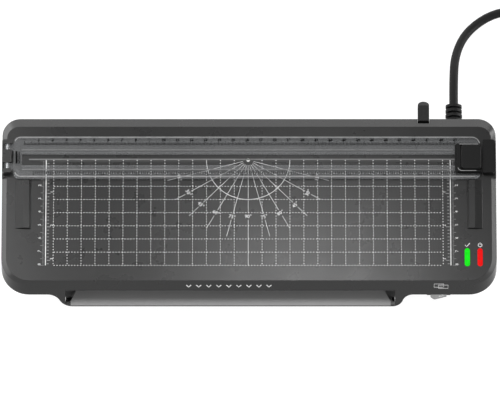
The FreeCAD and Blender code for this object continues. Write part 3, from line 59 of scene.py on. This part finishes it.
def mm(*values):
    """Vector in metres from values in millimetres."""
    return Vector([value * MM for value in values])


def add_object(name, data):
    """New object of the scene that shows some data."""
    obj = bpy.data.objects.new(name, data)
    scene.collection.objects.link(obj)
    return obj


# ---------------------------------------------------------------- camera

ELEVATION = 71.0
AIM = mm(0.7, -2.4, 54)
DISTANCE = 5.995
LENS, SENSOR = 600, 36
FAR_CLIP = 100

tilt = math.radians(ELEVATION)
camera_data = bpy.data.cameras.new("camera")
camera_data.lens = LENS
camera_data.sensor_width = SENSOR
camera_data.clip_end = FAR_CLIP
camera = add_object("camera", camera_data)
camera.location = AIM + DISTANCE * Vector((0, -math.cos(tilt), math.sin(tilt)))
camera.rotation_euler = (math.radians(90 - ELEVATION), 0, 0)
scene.camera = camera


# ---------------------------------------------------------------- materials

# Sockets of a colour Mix node: its two colours and its result.
MIX_ONE, MIX_OTHER, MIX_RESULT = 6, 7, 2


class Finish:
    """A node material around one Principled shader, with its patterns in the frame's metres."""

    def __init__(self, name):
        self.material = bpy.data.materials.new(name)
        self.material.use_nodes = True
        self.tree = self.material.node_tree
        self.shader = self.tree.nodes["Principled BSDF"]
        self.place = self.add("ShaderNodeTexCoord").outputs["Object"]

    def set(self, socket, value):
        if isinstance(value, bpy.types.NodeSocket):
            self.tree.links.new(value, socket)
        else:
            socket.default_value = value

    def fill(self, node, sockets):
        for name, value in sockets.items():
            self.set(node.inputs[name.replace("_", " ")], value)

    def add(self, kind, **sockets):
        """New node with its sockets set or linked."""
        node = self.tree.nodes.new(kind)
        self.fill(node, sockets)
        return node

    def put(self, **sockets):
        """Set or link sockets of the Principled shader."""
        self.fill(self.shader, sockets)

    def noise(self, size, detail, stretch=(1, 1, 1)):
        """Noise whose features are about size metres across, drawn out by stretch."""
        mapping = self.add("ShaderNodeMapping", Vector=self.place,
                           Scale=tuple(1 / (size * s) for s in stretch))
        node = self.add("ShaderNodeTexNoise", Vector=mapping.outputs[0], Scale=1.0, Detail=detail)
        return node.outputs["Fac"]

    def spread(self, value, low, high, start=0.3, end=0.7):
        """value from start to end becomes low to high."""
        node = self.add("ShaderNodeMapRange", Value=value, From_Min=start, From_Max=end,
                        To_Min=low, To_Max=high)
        return node.outputs[0]

    def blend(self, share, one, other):
        """Colour between two, by a share from 0 to 1."""
        node = self.tree.nodes.new("ShaderNodeMix")
        node.data_type = "RGBA"
        self.set(node.inputs["Factor"], share)
        self.set(node.inputs[MIX_ONE], (*one, 1))
        self.set(node.inputs[MIX_OTHER], (*other, 1))
        return node.outputs[MIX_RESULT]

    def patches(self, noise, one, other):
        """Colour that drifts between two with a noise."""
        return self.blend(self.spread(noise, 0, 1), one, other)

    def bump(self, *layers):
        """Relief from (height, depth in metres) layers, one on the other."""
        normal = None
        for height, depth in layers:
            node = self.add("ShaderNodeBump", Height=height, Distance=depth, Strength=1.0)
            if normal is not None:
                self.set(node.inputs["Normal"], normal)
            normal = node.outputs[0]
        self.put(Normal=normal)


def grey(value):
    return (value, value, value)


def shades(colour, low, high):
    """A darker and a lighter shade of a colour."""
    return tuple(c * low for c in colour), tuple(c * high for c in colour)


MOULD_GRAIN = 0.0005
MOULD_WAVE, WAVE_DEPTH = 0.03, 0.00008
TONE_DRIFT = 0.02
BRUSH_LINE, BRUSH_DEPTH = 0.0003, 0.000006


def moulded(name, colour, rough, depth=0.000006, gloss=0.5):
    """Injection-moulded plastic: spark-eroded grain, a slow drift of tone, and handling marks."""
    skin = Finish(name)
    drift = skin.noise(0.06, 3)
    marks = skin.noise(0.018, 4)
    skin.put(
        Base_Color=skin.patches(drift, *shades(colour, 1 - TONE_DRIFT, 1 + TONE_DRIFT)),
        Roughness=skin.spread(marks, rough - 0.015, rough + 0.02),
        Specular_IOR_Level=gloss,
    )
    skin.bump((skin.noise(MOULD_GRAIN, 1), depth), (skin.noise(MOULD_WAVE, 2), WAVE_DEPTH))
    return skin.material


def soft_rubber(name, colour, rough=0.6, stretch=(1, 1, 1)):
    """Rubber with a fine matt bloom and faint flow lines."""
    skin = Finish(name)
    bloom = skin.noise(0.009, 4)
    skin.put(
        Base_Color=skin.patches(bloom, *shades(colour, 0.85, 1.25)),
        Roughness=skin.spread(bloom, rough - 0.07, rough + 0.07),
        Specular_IOR_Level=0.2,
    )
    skin.bump((skin.noise(0.0007, 2, stretch), 0.00002))
    return skin.material


def brushed(name, colour, rough, run=(40, 1, 1)):
    """Metal with fine lines along its rolling or grinding direction and a few dull spots."""
    skin = Finish(name)
    lines = skin.noise(BRUSH_LINE, 2, run)
    dull = skin.noise(0.012, 4)
    skin.put(
        Metallic=1.0,
        Base_Color=skin.patches(dull, *shades(colour, 0.88, 1.05)),
        Roughness=skin.spread(lines, rough - 0.06, rough + 0.08),
    )
    skin.bump((lines, BRUSH_DEPTH))
    return skin.material


def ink(name, colour, worn, gloss=0.3):
    """Pad-printed ink, a little thin where it has been rubbed. Also the finish of painted highlights and
    painted shade.
    """
    skin = Finish(name)
    wear = skin.noise(0.004, 4)
    skin.put(
        Base_Color=skin.blend(skin.spread(wear, 0, 1, 0.25, 0.6), worn, colour),
        Roughness=skin.spread(skin.noise(0.001, 2), 0.42, 0.58),
        Specular_IOR_Level=gloss,
    )
    skin.bump((skin.noise(0.0003, 1), 0.000004))
    return skin.material


def clear_acrylic():
    """Clear moulding: see-through head on, denser where it is seen at a slant."""
    skin = Finish("clear_acrylic")
    facing = skin.add("ShaderNodeLayerWeight", Blend=0.35).outputs["Facing"]
    skin.put(
        Base_Color=skin.patches(skin.noise(0.03, 3), (0.40, 0.41, 0.42), (0.48, 0.49, 0.50)),
        Roughness=skin.spread(skin.noise(0.012, 4), 0.10, 0.2),
        Alpha=skin.spread(facing, 0.09, 0.6, 0.0, 1.0),
        Specular_IOR_Level=0.5,
    )
    skin.bump((skin.noise(0.02, 3), 0.00006))
    return skin.material


def lit_lens(name, colour, glow):
    """Light guide with a lamp behind it, its glow a little cloudy."""
    skin = Finish(name)
    cloud = skin.noise(0.003, 2)
    skin.put(
        Base_Color=skin.patches(cloud, *shades(colour, 0.1, 0.15)),
        Emission_Color=skin.patches(cloud, *shades(colour, 0.85, 1.0)),
        Emission_Strength=glow,
        Roughness=skin.spread(skin.noise(0.001, 2), 0.2, 0.3),
        Specular_IOR_Level=0.1,
    )
    skin.bump((skin.noise(0.0015, 1), 0.00001))
    return skin.material


def circuit_board():
    """Solder mask with tracks showing through it."""
    skin = Finish("circuit_board")
    track = skin.add("ShaderNodeTexBrick", Vector=skin.place, Scale=180.0, Mortar_Size=0.06,
                     Color1=(0.010, 0.075, 0.025, 1), Color2=(0.016, 0.11, 0.035, 1),
                     Mortar=(0.05, 0.2, 0.07, 1))
    skin.put(
        Base_Color=track.outputs["Color"],
        Roughness=skin.spread(skin.noise(0.002, 2), 0.3, 0.45),
    )
    skin.bump((track.outputs["Fac"], 0.00002))
    return skin.material


def mica_sheet():
    """Pressed mica: flaky bronze patches with a low sheen."""
    skin = Finish("mica_sheet")
    cells = skin.add("ShaderNodeTexVoronoi", Vector=skin.place, Scale=450.0).outputs["Distance"]
    skin.put(
        Base_Color=skin.blend(cells, (0.16, 0.10, 0.05), (0.36, 0.27, 0.15)),
        Roughness=skin.spread(skin.noise(0.003, 3), 0.3, 0.5),
    )
    skin.bump((cells, 0.00003))
    return skin.material


def wear_finish(obj, material):
    obj.data.materials.clear()
    obj.data.materials.append(material)


# One finish for each material slot of the record.
FINISHES = {
    "cover_plastic": moulded("cover_plastic", grey(0.0115), 0.28, gloss=0.33),
    "base_plastic": moulded("base_plastic", grey(0.010), 0.42, depth=0.000012, gloss=0.3),
    # The feed ramp's pale grey is painted sheen: made light to stand in for the light its flat top catches.
    "lip_plastic": moulded("lip_plastic", grey(0.24), 0.4, gloss=0.35),
    "black_plastic": moulded("black_plastic", grey(0.004), 0.38, gloss=0.15),
    "clear_plastic": clear_acrylic(),
    "strip_plastic": moulded("strip_plastic", grey(0.03), 0.5, gloss=0.3),
    "green_lens": lit_lens("green_lens", (0.001, 0.78, 0.004), 1.0),
    "red_lens": lit_lens("red_lens", (0.80, 0.001, 0.001), 1.0),
    "switch_plastic": moulded("switch_plastic", grey(0.13), 0.3),
    "feet_rubber": soft_rubber("feet_rubber", grey(0.015)),
    "cord_rubber": soft_rubber("cord_rubber", grey(0.004), 0.55),
    "steel": brushed("steel", (0.56, 0.57, 0.59), 0.34),
    "spring_steel": brushed("spring_steel", (0.45, 0.45, 0.47), 0.3, run=(1, 1, 1)),
    "blade_steel": brushed("blade_steel", (0.7, 0.71, 0.73), 0.16),
    "aluminium": brushed("aluminium", (0.7, 0.71, 0.72), 0.4, run=(60, 1, 1)),
    "mica": mica_sheet(),
    "gear_nylon": moulded("gear_nylon", (0.66, 0.65, 0.58), 0.4),
    "bush_nylon": moulded("bush_nylon", (0.16, 0.13, 0.08), 0.5),
    "roller_rubber": soft_rubber("roller_rubber", (0.30, 0.07, 0.035), 0.55, (60, 1, 1)),
    "board": circuit_board(),
    "brass": brushed("brass", (0.72, 0.66, 0.5), 0.24, run=(1, 40, 1)),
}
WHITE_INK = ink("white_ink", grey(0.78), grey(0.55))
# Faint ink for the cutting line; the same finish paints the highlight along the arm's steps.
FAINT_INK_AND_HIGHLIGHT = ink("faint_ink_and_painted_highlight", grey(0.16), grey(0.12))
# Pale lines that are painted highlights: the gleam along the arm's rim and along the carriage's edges.
PAINTED_GLEAM = ink("painted_gleam", grey(0.24), grey(0.17))
DASH_INK = ink("dash_ink", grey(0.8), grey(0.66))
TICK_INK = ink("tick_ink", grey(0.20), grey(0.15))
# Black ink for the ruler's marks and numbers; the same finish paints the shade of the gap at the arm's left
# end.
BLACK_INK_AND_SHADE = ink("black_ink_and_painted_shade", grey(0.003), grey(0.006), gloss=0.03)

for row in frame["record"]["subparts"]:
    wear_finish(nodes[row["node"]], FINISHES[row["material_slot"]])


# ---------------------------------------------------------------- springs that ride on their bodies

def springs(node, body):
    """Copy of a node's coils, in spring steel, that rides on a body in place of the node."""
    coils = add_object(node + "_coils", nodes[node].data.copy())
    wear_finish(coils, FINISHES["spring_steel"])
    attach(coils, body)
    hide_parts(node)
    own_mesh(coils)


springs("head_springs", "cutter_carriage")
springs("pressure_springs", "chassis")


# ---------------------------------------------------------------- the mains lead

# From its exit the lead runs down to the table behind the machine and into a coil of three rings, from
# the outer to the inner one, then three more on top of them, and straight to the plug.
LEAD_DIAMETER = 6.4
EXIT = (148.6, 81.4, 22)
LEAD_ROUTE = [
    EXIT, (148.6, 101, 20.6), (150.2, 125, 11.2), (159.5, 146, 3.8), (180, 160.5, 3.2),
    (204, 161.5, 3.2), (226, 158.2, 3.2),
]
COIL_CENTRE = (233, 116)
COIL_POINTS = 16
FIRST_ANGLE = 95
RINGS = (41.4, 35.0, 28.6)
LOW_LAYER, TOP_LAYER = 3.2, 9.6
TRACKS = [(radius, LOW_LAYER) for radius in RINGS] + [(radius, TOP_LAYER) for radius in RINGS[::-1]]
CROSSING = 60 / 360
CLIMB_BULGE = 3.0
PLUG_RUN, PLUG_STRAIGHT, TAIL_END = 4, 12, 88.5
LEAD_FACETS = 5


def coil_point(turns):
    """Point of the coil after a number of turns, clockwise as seen from above."""
    last = len(TRACKS) - 1
    track = min(int(turns), last)
    (radius, level), (next_radius, next_level) = TRACKS[track], TRACKS[min(track + 1, last)]
    share = max(0.0, (turns - track - (1 - CROSSING)) / CROSSING)
    smooth = share * share * (3 - 2 * share)
    if next_level > level:
        radius -= CLIMB_BULGE * math.sin(math.pi * share)
    else:
        radius += (next_radius - radius) * smooth
    level += (next_level - level) * smooth
    angle = math.radians(FIRST_ANGLE - 360 * turns)
    reach = radius / math.cos(math.pi / COIL_POINTS)
    return (COIL_CENTRE[0] + reach * math.cos(angle), COIL_CENTRE[1] + reach * math.sin(angle), level)


# The last ring ends after a quarter turn, in line with the plug.
coil_steps = (len(TRACKS) - 1) * COIL_POINTS + COIL_POINTS // 4
coil = [coil_point(step / COIL_POINTS) for step in range(1, coil_steps + 1)]
plug_x = COIL_CENTRE[0] + TRACKS[-1][0]
tail = [(plug_x, y, TOP_LAYER) for y in (COIL_CENTRE[1] - PLUG_RUN, TAIL_END + PLUG_STRAIGHT, TAIL_END)]
route = LEAD_ROUTE + coil + tail

lead_curve = bpy.data.curves.new("mains_lead", "CURVE")
lead_curve.dimensions = "3D"
lead_curve.bevel_depth = LEAD_DIAMETER / 2 * MM
lead_curve.bevel_resolution = LEAD_FACETS
lead_curve.use_fill_caps = True
lead_curve.resolution_u = LEAD_FACETS
spline = lead_curve.splines.new("NURBS")
spline.points.add(len(route) - 1)
for point, place in zip(spline.points, route):
    point.co = (*mm(*place), 1)
spline.order_u = 3
spline.use_endpoint_u = True
lead = add_object("mains_lead", lead_curve)
wear_finish(lead, FINISHES["cord_rubber"])
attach(lead, "chassis")
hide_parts("power_cord", "cord_coil")


# ---------------------------------------------------------------- prints: thin closed strips of ink, and of painted highlight and shade

# How far ink reaches into its face and stands out of it, and points closer than MERGE metres are one.
SUNK, PROUD = -0.02, 0.03
MERGE = 2e-7


def arc_points(middle, radius, start, end, steps):
    """Points of an arc about a middle, from one direction in degrees to another."""
    turns = [math.radians(start + (end - start) * n / steps) for n in range(steps + 1)]
    return [(middle[0] + radius * math.cos(t), middle[1] + radius * math.sin(t)) for t in turns]


class Print:
    """Ink on one flat face, also painted highlight and painted shade. The face is given by a point on it
    and its right and up directions.
    """

    def __init__(self, origin, right=(1, 0, 0), up=(0, 1, 0)):
        self.mesh = bmesh.new()
        right, up = Vector(right).normalized(), Vector(up).normalized()
        out = right.cross(up)
        self.matrix = Matrix((
            (right.x, up.x, out.x, origin[0]), (right.y, up.y, out.y, origin[1]),
            (right.z, up.z, out.z, origin[2]), (0, 0, 0, 1),
        ))

    def line(self, points, width, closed=False):
        """Strip of a width along points, as one closed solid."""
        flat = [Vector(p) for p in points]
        count = len(flat)
        rings = []
        for n, here in enumerate(flat):
            before = flat[n - 1] if n or closed else here
            after = flat[(n + 1) % count] if n < count - 1 or closed else here
            way = (after - before).normalized()
            side = Vector((-way.y, way.x)) * width / 2
            corners = ((here - side, SUNK), (here + side, SUNK), (here + side, PROUD), (here - side, PROUD))
            rings.append([self.mesh.verts.new(self.matrix @ Vector((*p, w)) * MM) for p, w in corners])
        for n in range(count if closed else count - 1):
            one, other = rings[n], rings[(n + 1) % count]
            for k in range(4):
                self.mesh.faces.new((one[k], one[(k + 1) % 4], other[(k + 1) % 4], other[k]))
        if not closed:
            self.mesh.faces.new(rings[0][::-1])
            self.mesh.faces.new(rings[-1])

    def arc(self, centre, radius, start, end, width, steps):
        """Strip of a width along an arc, closed when the arc is a whole circle."""
        points = arc_points(centre, radius, start, end, steps)
        whole = abs(end - start) >= 360
        self.line(points[:-1] if whole else points, width, closed=whole)

    def text(self, body, at, size, turn=0.0, weight=0.0):
        """A number, centred and turned by degrees. weight thickens its strokes, as a share of size."""
        font = bpy.data.curves.new("number", "FONT")
        font.body = body
        font.size = size
        font.align_x = "CENTER"
        font.align_y = "CENTER"
        font.resolution_u = 2
        font.extrude = (PROUD - SUNK) / 2
        font.offset = weight * size
        holder = add_object("number", font)
        bpy.context.view_layer.update()
        shape = bpy.data.meshes.new_from_object(holder.evaluated_get(bpy.context.evaluated_depsgraph_get()))
        middle = (PROUD + SUNK) / 2
        turned = Matrix.Translation((at[0], at[1], middle)) @ Matrix.Rotation(math.radians(turn), 4, "Z")
        shape.transform(Matrix.Scale(MM, 4) @ self.matrix @ turned)
        self.mesh.from_mesh(shape)
        bpy.data.objects.remove(holder)
        bpy.data.curves.remove(font)
        bpy.data.meshes.remove(shape)

    def finish(self, name, material, body, slot):
        """Turn the strips into one piece that rides on a body."""
        bmesh.ops.remove_doubles(self.mesh, verts=self.mesh.verts, dist=MERGE)
        bmesh.ops.recalc_face_normals(self.mesh, faces=self.mesh.faces)
        shape = bpy.data.meshes.new(name)
        self.mesh.to_mesh(shape)
        self.mesh.free()
        obj = add_object(name, shape)
        wear_finish(obj, material)
        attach(obj, body)


INCH = 25.4
DECK_TOP = 54.0
CUT_LINE = 28.0
PRINT_SHIFT = -0.6
DECK_ORIGIN = (PRINT_SHIFT, 0, DECK_TOP)

# Dashed centimetre grid on the deck, in front of the cutting line, with twelve dashes to the inch.
GRID_FRONT, GRID_HALF, GRID_STEP = -52.0, 140, 10
DASH, DASH_PITCH, DASH_WIDE = 0.68, INCH / 12, 0.5
ROW_INDENT = 0.4
grid_depth = CUT_LINE - GRID_FRONT
grid = Print(DECK_ORIGIN)
for x in range(-GRID_HALF, GRID_HALF + 1, GRID_STEP):
    if x == 0:
        continue
    for n in range(math.ceil(grid_depth / DASH_PITCH)):
        start = CUT_LINE - n * DASH_PITCH
        grid.line([(x, start), (x, start - DASH)], DASH_WIDE)
for row in range(1, round(grid_depth / GRID_STEP) + 1):
    y = CUT_LINE - GRID_STEP * row
    for n in range(int(2 * GRID_HALF / DASH_PITCH)):
        start = -GRID_HALF + n * DASH_PITCH + ROW_INDENT
        grid.line([(start, y), (start + DASH, y)], DASH_WIDE)
grid.finish("deck_grid_print", DASH_INK, "chassis", "cover_plastic")

# Angle gauge: a half circle, a ray every 15 degrees, and their numbers. The ray straight to the front
# takes the place of the grid's middle column.
GAUGE_RADIUS, GAUGE_WIDE, GAUGE_STEPS = 30, 0.36, 48
PIVOT_RADIUS, PIVOT_WIDE, PIVOT_STEPS = 0.7, 1.2, 16
RAY_TURN, RAY_START, RAY_LENGTH, RAY_WIDE = 15, 4, 60, 0.25
ANGLE_SIZE, ANGLE_REACH, ANGLE_SPREAD, ANGLE_GAP = 3.7, 43, 0.113, 2.6
pivot = Vector((0, CUT_LINE))
gauge = Print(DECK_ORIGIN)
gauge.arc(pivot, GAUGE_RADIUS, 180, 360, GAUGE_WIDE, GAUGE_STEPS)
gauge.arc(pivot, PIVOT_RADIUS, 0, 360, PIVOT_WIDE, PIVOT_STEPS)
for turn in range(RAY_TURN, 180, RAY_TURN):
    angle = math.radians(180 + turn)
    way = Vector((math.cos(angle), math.sin(angle)))
    number = 90 - abs(90 - turn)
    at = pivot + way * (ANGLE_REACH + ANGLE_SPREAD * (90 - number))
    far = pivot + way * RAY_LENGTH if number < 90 else Vector((0, GRID_FRONT))
    gauge.line([pivot + way * RAY_START, at - way * ANGLE_GAP], RAY_WIDE)
    gauge.line([at + way * ANGLE_GAP, far], RAY_WIDE)
    gauge.text(f"{number}°", at, ANGLE_SIZE, turn=turn - 90)
gauge.finish("angle_gauge_print", WHITE_INK, "chassis", "cover_plastic")

# Border lines, with millimetre marks outside them and tenths of an inch inside them. Every fifth
# millimetre and whole inches are longer, and centimetres from 2 up and inches have their numbers.
BORDER, BORDER_WIDE = 145.5, 0.6
OUTER_GAP, OUTER_MARK, OUTER_WIDE = 1.3, 1.0, 0.3
INNER_GAP, INNER_MARK, INNER_WIDE = 0.8, 1.5, 0.6
OUTER_MARKS, INNER_MARKS, LONG_MARK = 80, 31, 2.6
BORDER_SIZE, BORDER_REACH = 2.9, 4.4
OUTER_RISE, INNER_RISE = 0.8, 1.1
scale, ticks = Print(DECK_ORIGIN), Print(DECK_ORIGIN)
for side in (-1, 1):
    scale.line([(side * BORDER, CUT_LINE), (side * BORDER, GRID_FRONT)], BORDER_WIDE)
    edge = BORDER + OUTER_GAP
    for n in range(1, OUTER_MARKS + 1):
        y = CUT_LINE - n
        long = LONG_MARK if n % 5 == 0 else OUTER_MARK
        ticks.line([(side * edge, y), (side * (edge + long), y)], OUTER_WIDE)
    edge = BORDER - INNER_GAP
    for n in range(1, INNER_MARKS + 1):
        y = CUT_LINE - n * INCH / 10
        long = LONG_MARK if n % 10 == 0 else INNER_MARK
        ticks.line([(side * edge, y), (side * (edge - long), y)], INNER_WIDE)
    for n in range(2, OUTER_MARKS // 10 + 1):
        at = (side * (BORDER + BORDER_REACH), CUT_LINE - 10 * n + OUTER_RISE)
        scale.text(str(n), at, BORDER_SIZE, turn=90)
    for n in range(1, INNER_MARKS // 10 + 1):
        at = (side * (BORDER - BORDER_REACH), CUT_LINE - INCH * n + INNER_RISE)
        scale.text(str(n), at, BORDER_SIZE, turn=90)
ticks.finish("border_ticks_print", TICK_INK, "chassis", "cover_plastic")
scale.finish("border_scale_print", WHITE_INK, "chassis", "cover_plastic")

# Cutting line along the strip under the blade.
STRIP_LEFT, STRIP_RIGHT, STRIP_WIDE = -158.6, 148, 1.0
strip_y = CUT_LINE + 0.55
strip_line = Print((0, 0, DECK_TOP))
strip_line.line([(STRIP_LEFT, strip_y), (STRIP_RIGHT, strip_y)], STRIP_WIDE)
strip_line.finish("cutting_line_print", FAINT_INK_AND_HIGHLIGHT, "chassis", "strip_plastic")

# Ruler on the clear arm: 31 cm in millimetres along its rear strip, and 12 inches in sixteenths along
# its front strip.
ARM_SHEET_TOP = 56.2
RULER_MM, RULER_INCHES = 311, 12
CM_MARKS, INCH_MARKS = (3.2, 2.8, 2.0), (3.0, 2.6, 2.0)
CM_ZERO, CM_BASE, CM_WIDE = -161.9, 38.7, 0.45
CM_SIZE, CM_LEVEL, CM_SHIFT, CM_WEIGHT = 2.8, 42.9, 0.4, 0.07
INCH_ZERO, INCH_BASE, INCH_WIDE = -155.4, 18.6, 0.6
INCH_SIZE, INCH_LEVEL, INCH_SHIFT, INCH_WEIGHT = 2.2, 16.0, -1.6, 0.045


def mark_length(n, unit, lengths):
    """Length of mark n, of those for whole units, half units and the marks between."""
    whole, half, short = lengths
    return whole if n % unit == 0 else half if n % (unit // 2) == 0 else short


ruler = Print((0, 0, ARM_SHEET_TOP))
for n in range(RULER_MM + 1):
    x = CM_ZERO + n
    ruler.line([(x, CM_BASE), (x, CM_BASE + mark_length(n, 10, CM_MARKS))], CM_WIDE)
for n in range(1, RULER_MM // 10 + 1):
    ruler.text(str(n), (CM_ZERO + 10 * n + CM_SHIFT, CM_LEVEL), CM_SIZE, weight=CM_WEIGHT)
for n in range(16 * RULER_INCHES + 1):
    x = INCH_ZERO + n * INCH / 16
    ruler.line([(x, INCH_BASE - mark_length(n, 16, INCH_MARKS)), (x, INCH_BASE)], INCH_WIDE)
for n in range(1, RULER_INCHES):
    ruler.text(str(n), (INCH_ZERO + n * INCH + INCH_SHIFT, INCH_LEVEL), INCH_SIZE, weight=INCH_WEIGHT)
ruler.finish("arm_scale_print", BLACK_INK_AND_SHADE, "ruler_arm", "clear_plastic")

# Light that the clear moulding gathers along its rounded rim, as painted highlight lines on its top.
RIM_TOP = 58.1
REAR_RIM, FRONT_RIM, LEFT_RIM, RIGHT_RIM = 44.1, 14.2, -168.6, 166.05
FRONT_RIM_END = 162.6
REAR_TURN, END_TURN, TURN_STEPS = 5.55, 4.2, 8
REAR_WIDE, FRONT_WIDE = 0.7, 0.9
left_x, right_x = LEFT_RIM + END_TURN, RIGHT_RIM - REAR_TURN
rear_left = arc_points((left_x, REAR_RIM - END_TURN), END_TURN, 165, 90, TURN_STEPS)
rear_right = arc_points((right_x, REAR_RIM - REAR_TURN), REAR_TURN, 90, 8, TURN_STEPS)
front_left = arc_points((left_x, FRONT_RIM + END_TURN), END_TURN, 195, 270, TURN_STEPS)
rim = Print((0, 0, RIM_TOP))
rim.line(rear_left + rear_right, REAR_WIDE)
rim.line(front_left + [(FRONT_RIM_END, FRONT_RIM)], FRONT_WIDE)
rim.finish("arm_rim_gleam", PAINTED_GLEAM, "ruler_arm", "clear_plastic")

# Two dark bars on the arm's left end: painted shade of the dark gap at that end.
BAR_FRONT = 24
end_bars = Print((0, 0, RIM_TOP))
for x, rear, width in ((-167.4, 33.4, 1.4), (-165.6, 33, 0.7)):
    end_bars.line([(x, BAR_FRONT), (x, rear)], width)
end_bars.finish("arm_end_painted_shade", BLACK_INK_AND_SHADE, "ruler_arm", "clear_plastic")

# Light along the steps between the arm's sheet and its two strips.
STEP_LEFT, STEP_RIGHT = -163.6, 147
steps = Print((0, 0, ARM_SHEET_TOP))
for y, width in ((35.0, 0.6), (20.2, 0.7)):
    steps.line([(STEP_LEFT, y), (STEP_RIGHT, y)], width)
steps.finish("arm_step_gleam", FAINT_INK_AND_HIGHLIGHT, "ruler_arm", "clear_plastic")

# Light along the rear and front edges of the cutter carriage's top.
CARRIAGE_TOP, GLINT_WIDE = 61.7, 0.5
glints = Print((0, 0, CARRIAGE_TOP))
glints.line([(151.5, 37.6), (165, 37.6)], GLINT_WIDE)
glints.line([(150.2, 19.6), (151, 18.2), (152.6, 17.4), (163.5, 17.4)], GLINT_WIDE)
glints.finish("carriage_gleam", PAINTED_GLEAM, "cutter_carriage", "black_plastic")

# Symbols above the two lamps: a tick for ready, and the power sign.
SYMBOL_Y, TICK_WIDE = -36.6, 0.45
POWER_X, POWER_RADIUS, POWER_WIDE, POWER_STEPS = 165.9, 1.35, 0.42, 20
symbols = Print((0, 0, DECK_TOP))
symbols.line([(155.1, SYMBOL_Y), (156.3, SYMBOL_Y - 1.2), (158.6, SYMBOL_Y + 1.5)], TICK_WIDE)
symbols.arc((POWER_X, SYMBOL_Y), POWER_RADIUS, 125, 415, POWER_WIDE, POWER_STEPS)
symbols.line([(POWER_X, SYMBOL_Y + 0.2), (POWER_X, SYMBOL_Y + 1.9)], POWER_WIDE)
symbols.finish("lamp_symbols_print", WHITE_INK, "chassis", "cover_plastic")

# Generic marks on the sloping front: a row of chevrons, and two overlapping sheets. The front leans
# back by SLOPE for each unit that it rises, and meets the deck at FRONT_EDGE.
SLOPE = 6.3 / 13.5
FRONT_EDGE, MARK_DOWN = -63.3, -6.1
CHEVRONS, CHEVRON_MIDDLE, CHEVRON_PITCH = 9, -14.5, 7.2
CHEVRON_HALF, CHEVRON_ENDS, CHEVRON_POINT, CHEVRON_WIDE = 1.7, 1.2, 1.0, 0.8
SHEET_HALF, SHEET_RISE, SHEET_WIDE = 3.4, 1.7, 0.4
front = Print((0, FRONT_EDGE, DECK_TOP), up=(0, SLOPE, 1))
for n in range(CHEVRONS):
    x = CHEVRON_MIDDLE + CHEVRON_PITCH * (n - CHEVRONS // 2)
    ends, tip = MARK_DOWN + CHEVRON_ENDS, MARK_DOWN - CHEVRON_POINT
    front.line([(x - CHEVRON_HALF, ends), (x, tip), (x + CHEVRON_HALF, ends)], CHEVRON_WIDE)
for x, y in ((136.2, MARK_DOWN + 0.6), (139.4, MARK_DOWN - 0.6)):
    left, right, low, high = x - SHEET_HALF, x + SHEET_HALF, y - SHEET_RISE, y + SHEET_RISE
    front.line([(left, low), (right, low), (right, high), (left, high)], SHEET_WIDE, closed=True)
front.finish("front_marks_print", WHITE_INK, "chassis", "cover_plastic")

# Circle on the off half of the rocker's face, which stands slanted.
ROCKER_FACE, ROCKER_RIGHT = (138.1, -67.65, 32.15), (8.2, 2.1, 0)
CIRCLE_RADIUS, CIRCLE_WIDE, CIRCLE_STEPS = 1.5, 0.45, 24
off_face = Print(ROCKER_FACE, right=ROCKER_RIGHT, up=(0, 0, 1))
off_face.arc((0, 0), CIRCLE_RADIUS, 0, 360, CIRCLE_WIDE, CIRCLE_STEPS)
off_face.finish("rocker_off_print", WHITE_INK, "power_rocker", "switch_plastic")


# ---------------------------------------------------------------- floor, world and lamps

FLOOR_HALF = 6.0
FLOOR_GLOW = 0.92
SKY_STRENGTH = 0.4
WHITE = (1, 1, 1, 1)

floor_mesh = bpy.data.meshes.new("floor")
floor_corners = [(x * FLOOR_HALF, y * FLOOR_HALF, 0) for x, y in ((-1, -1), (1, -1), (1, 1), (-1, 1))]
floor_mesh.from_pydata(floor_corners, [], [(0, 1, 2, 3)])
floor = add_object("floor", floor_mesh)
paper = Finish("floor_paper")
paper.put(Base_Color=(0.2, 0.2, 0.2, 1), Roughness=0.8, Specular_IOR_Level=0.1,
          Emission_Color=WHITE, Emission_Strength=FLOOR_GLOW)
wear_finish(floor, paper.material)

world = bpy.data.worlds.new("studio")
world.use_nodes = True
sky = world.node_tree.nodes["Background"].inputs
sky["Color"].default_value = WHITE
sky["Strength"].default_value = SKY_STRENGTH
scene.world = world
scene.view_settings.view_transform = "Standard"


def softbox(name, place, target, width, height, radiance):
    """Rectangular lamp of a radiance, aimed at a point and hidden from the camera."""
    lamp = bpy.data.lights.new(name, "AREA")
    lamp.shape = "RECTANGLE"
    lamp.size = width
    lamp.size_y = height
    lamp.energy = radiance * math.pi * width * height
    obj = add_object(name, lamp)
    obj.location = place
    obj.rotation_euler = (Vector(target) - Vector(place)).to_track_quat("-Z", "Y").to_euler()
    obj.visible_camera = False


CENTRE = (0, 0, 0.05)
LAMPS = [  # name, place, target, width, height, radiance
    ("key_left", (-0.98, 0.39, 0.88), CENTRE, 0.5, 0.5, 3.0),
    ("fill_right", (1.2, -0.3, 1.0), CENTRE, 0.9, 0.9, 0.6),
    ("band_middle", (0.045, 0.07, 0.66), (0.045, -0.13, 0.05), 0.15, 0.2, 14.5),
    ("band_left", (-0.29, 0.14, 0.66), (-0.24, -0.06, 0.05), 0.14, 0.24, 11.0),
    ("front_fill", (0.2, -0.9, 0.5), (0.05, -0.07, 0.03), 0.8, 0.4, 3.0),
    ("edge_left", (-0.30, 0.05, 0.07), CENTRE, 0.4, 0.12, 3.6),
    ("edge_right", (0.42, 0.05, 0.07), CENTRE, 0.4, 0.12, 7.5),
    ("edge_rear", (0, 0.75, 0.22), CENTRE, 1.4, 0.4, 2.2),
]
for lamp_row in LAMPS:
    softbox(*lamp_row)
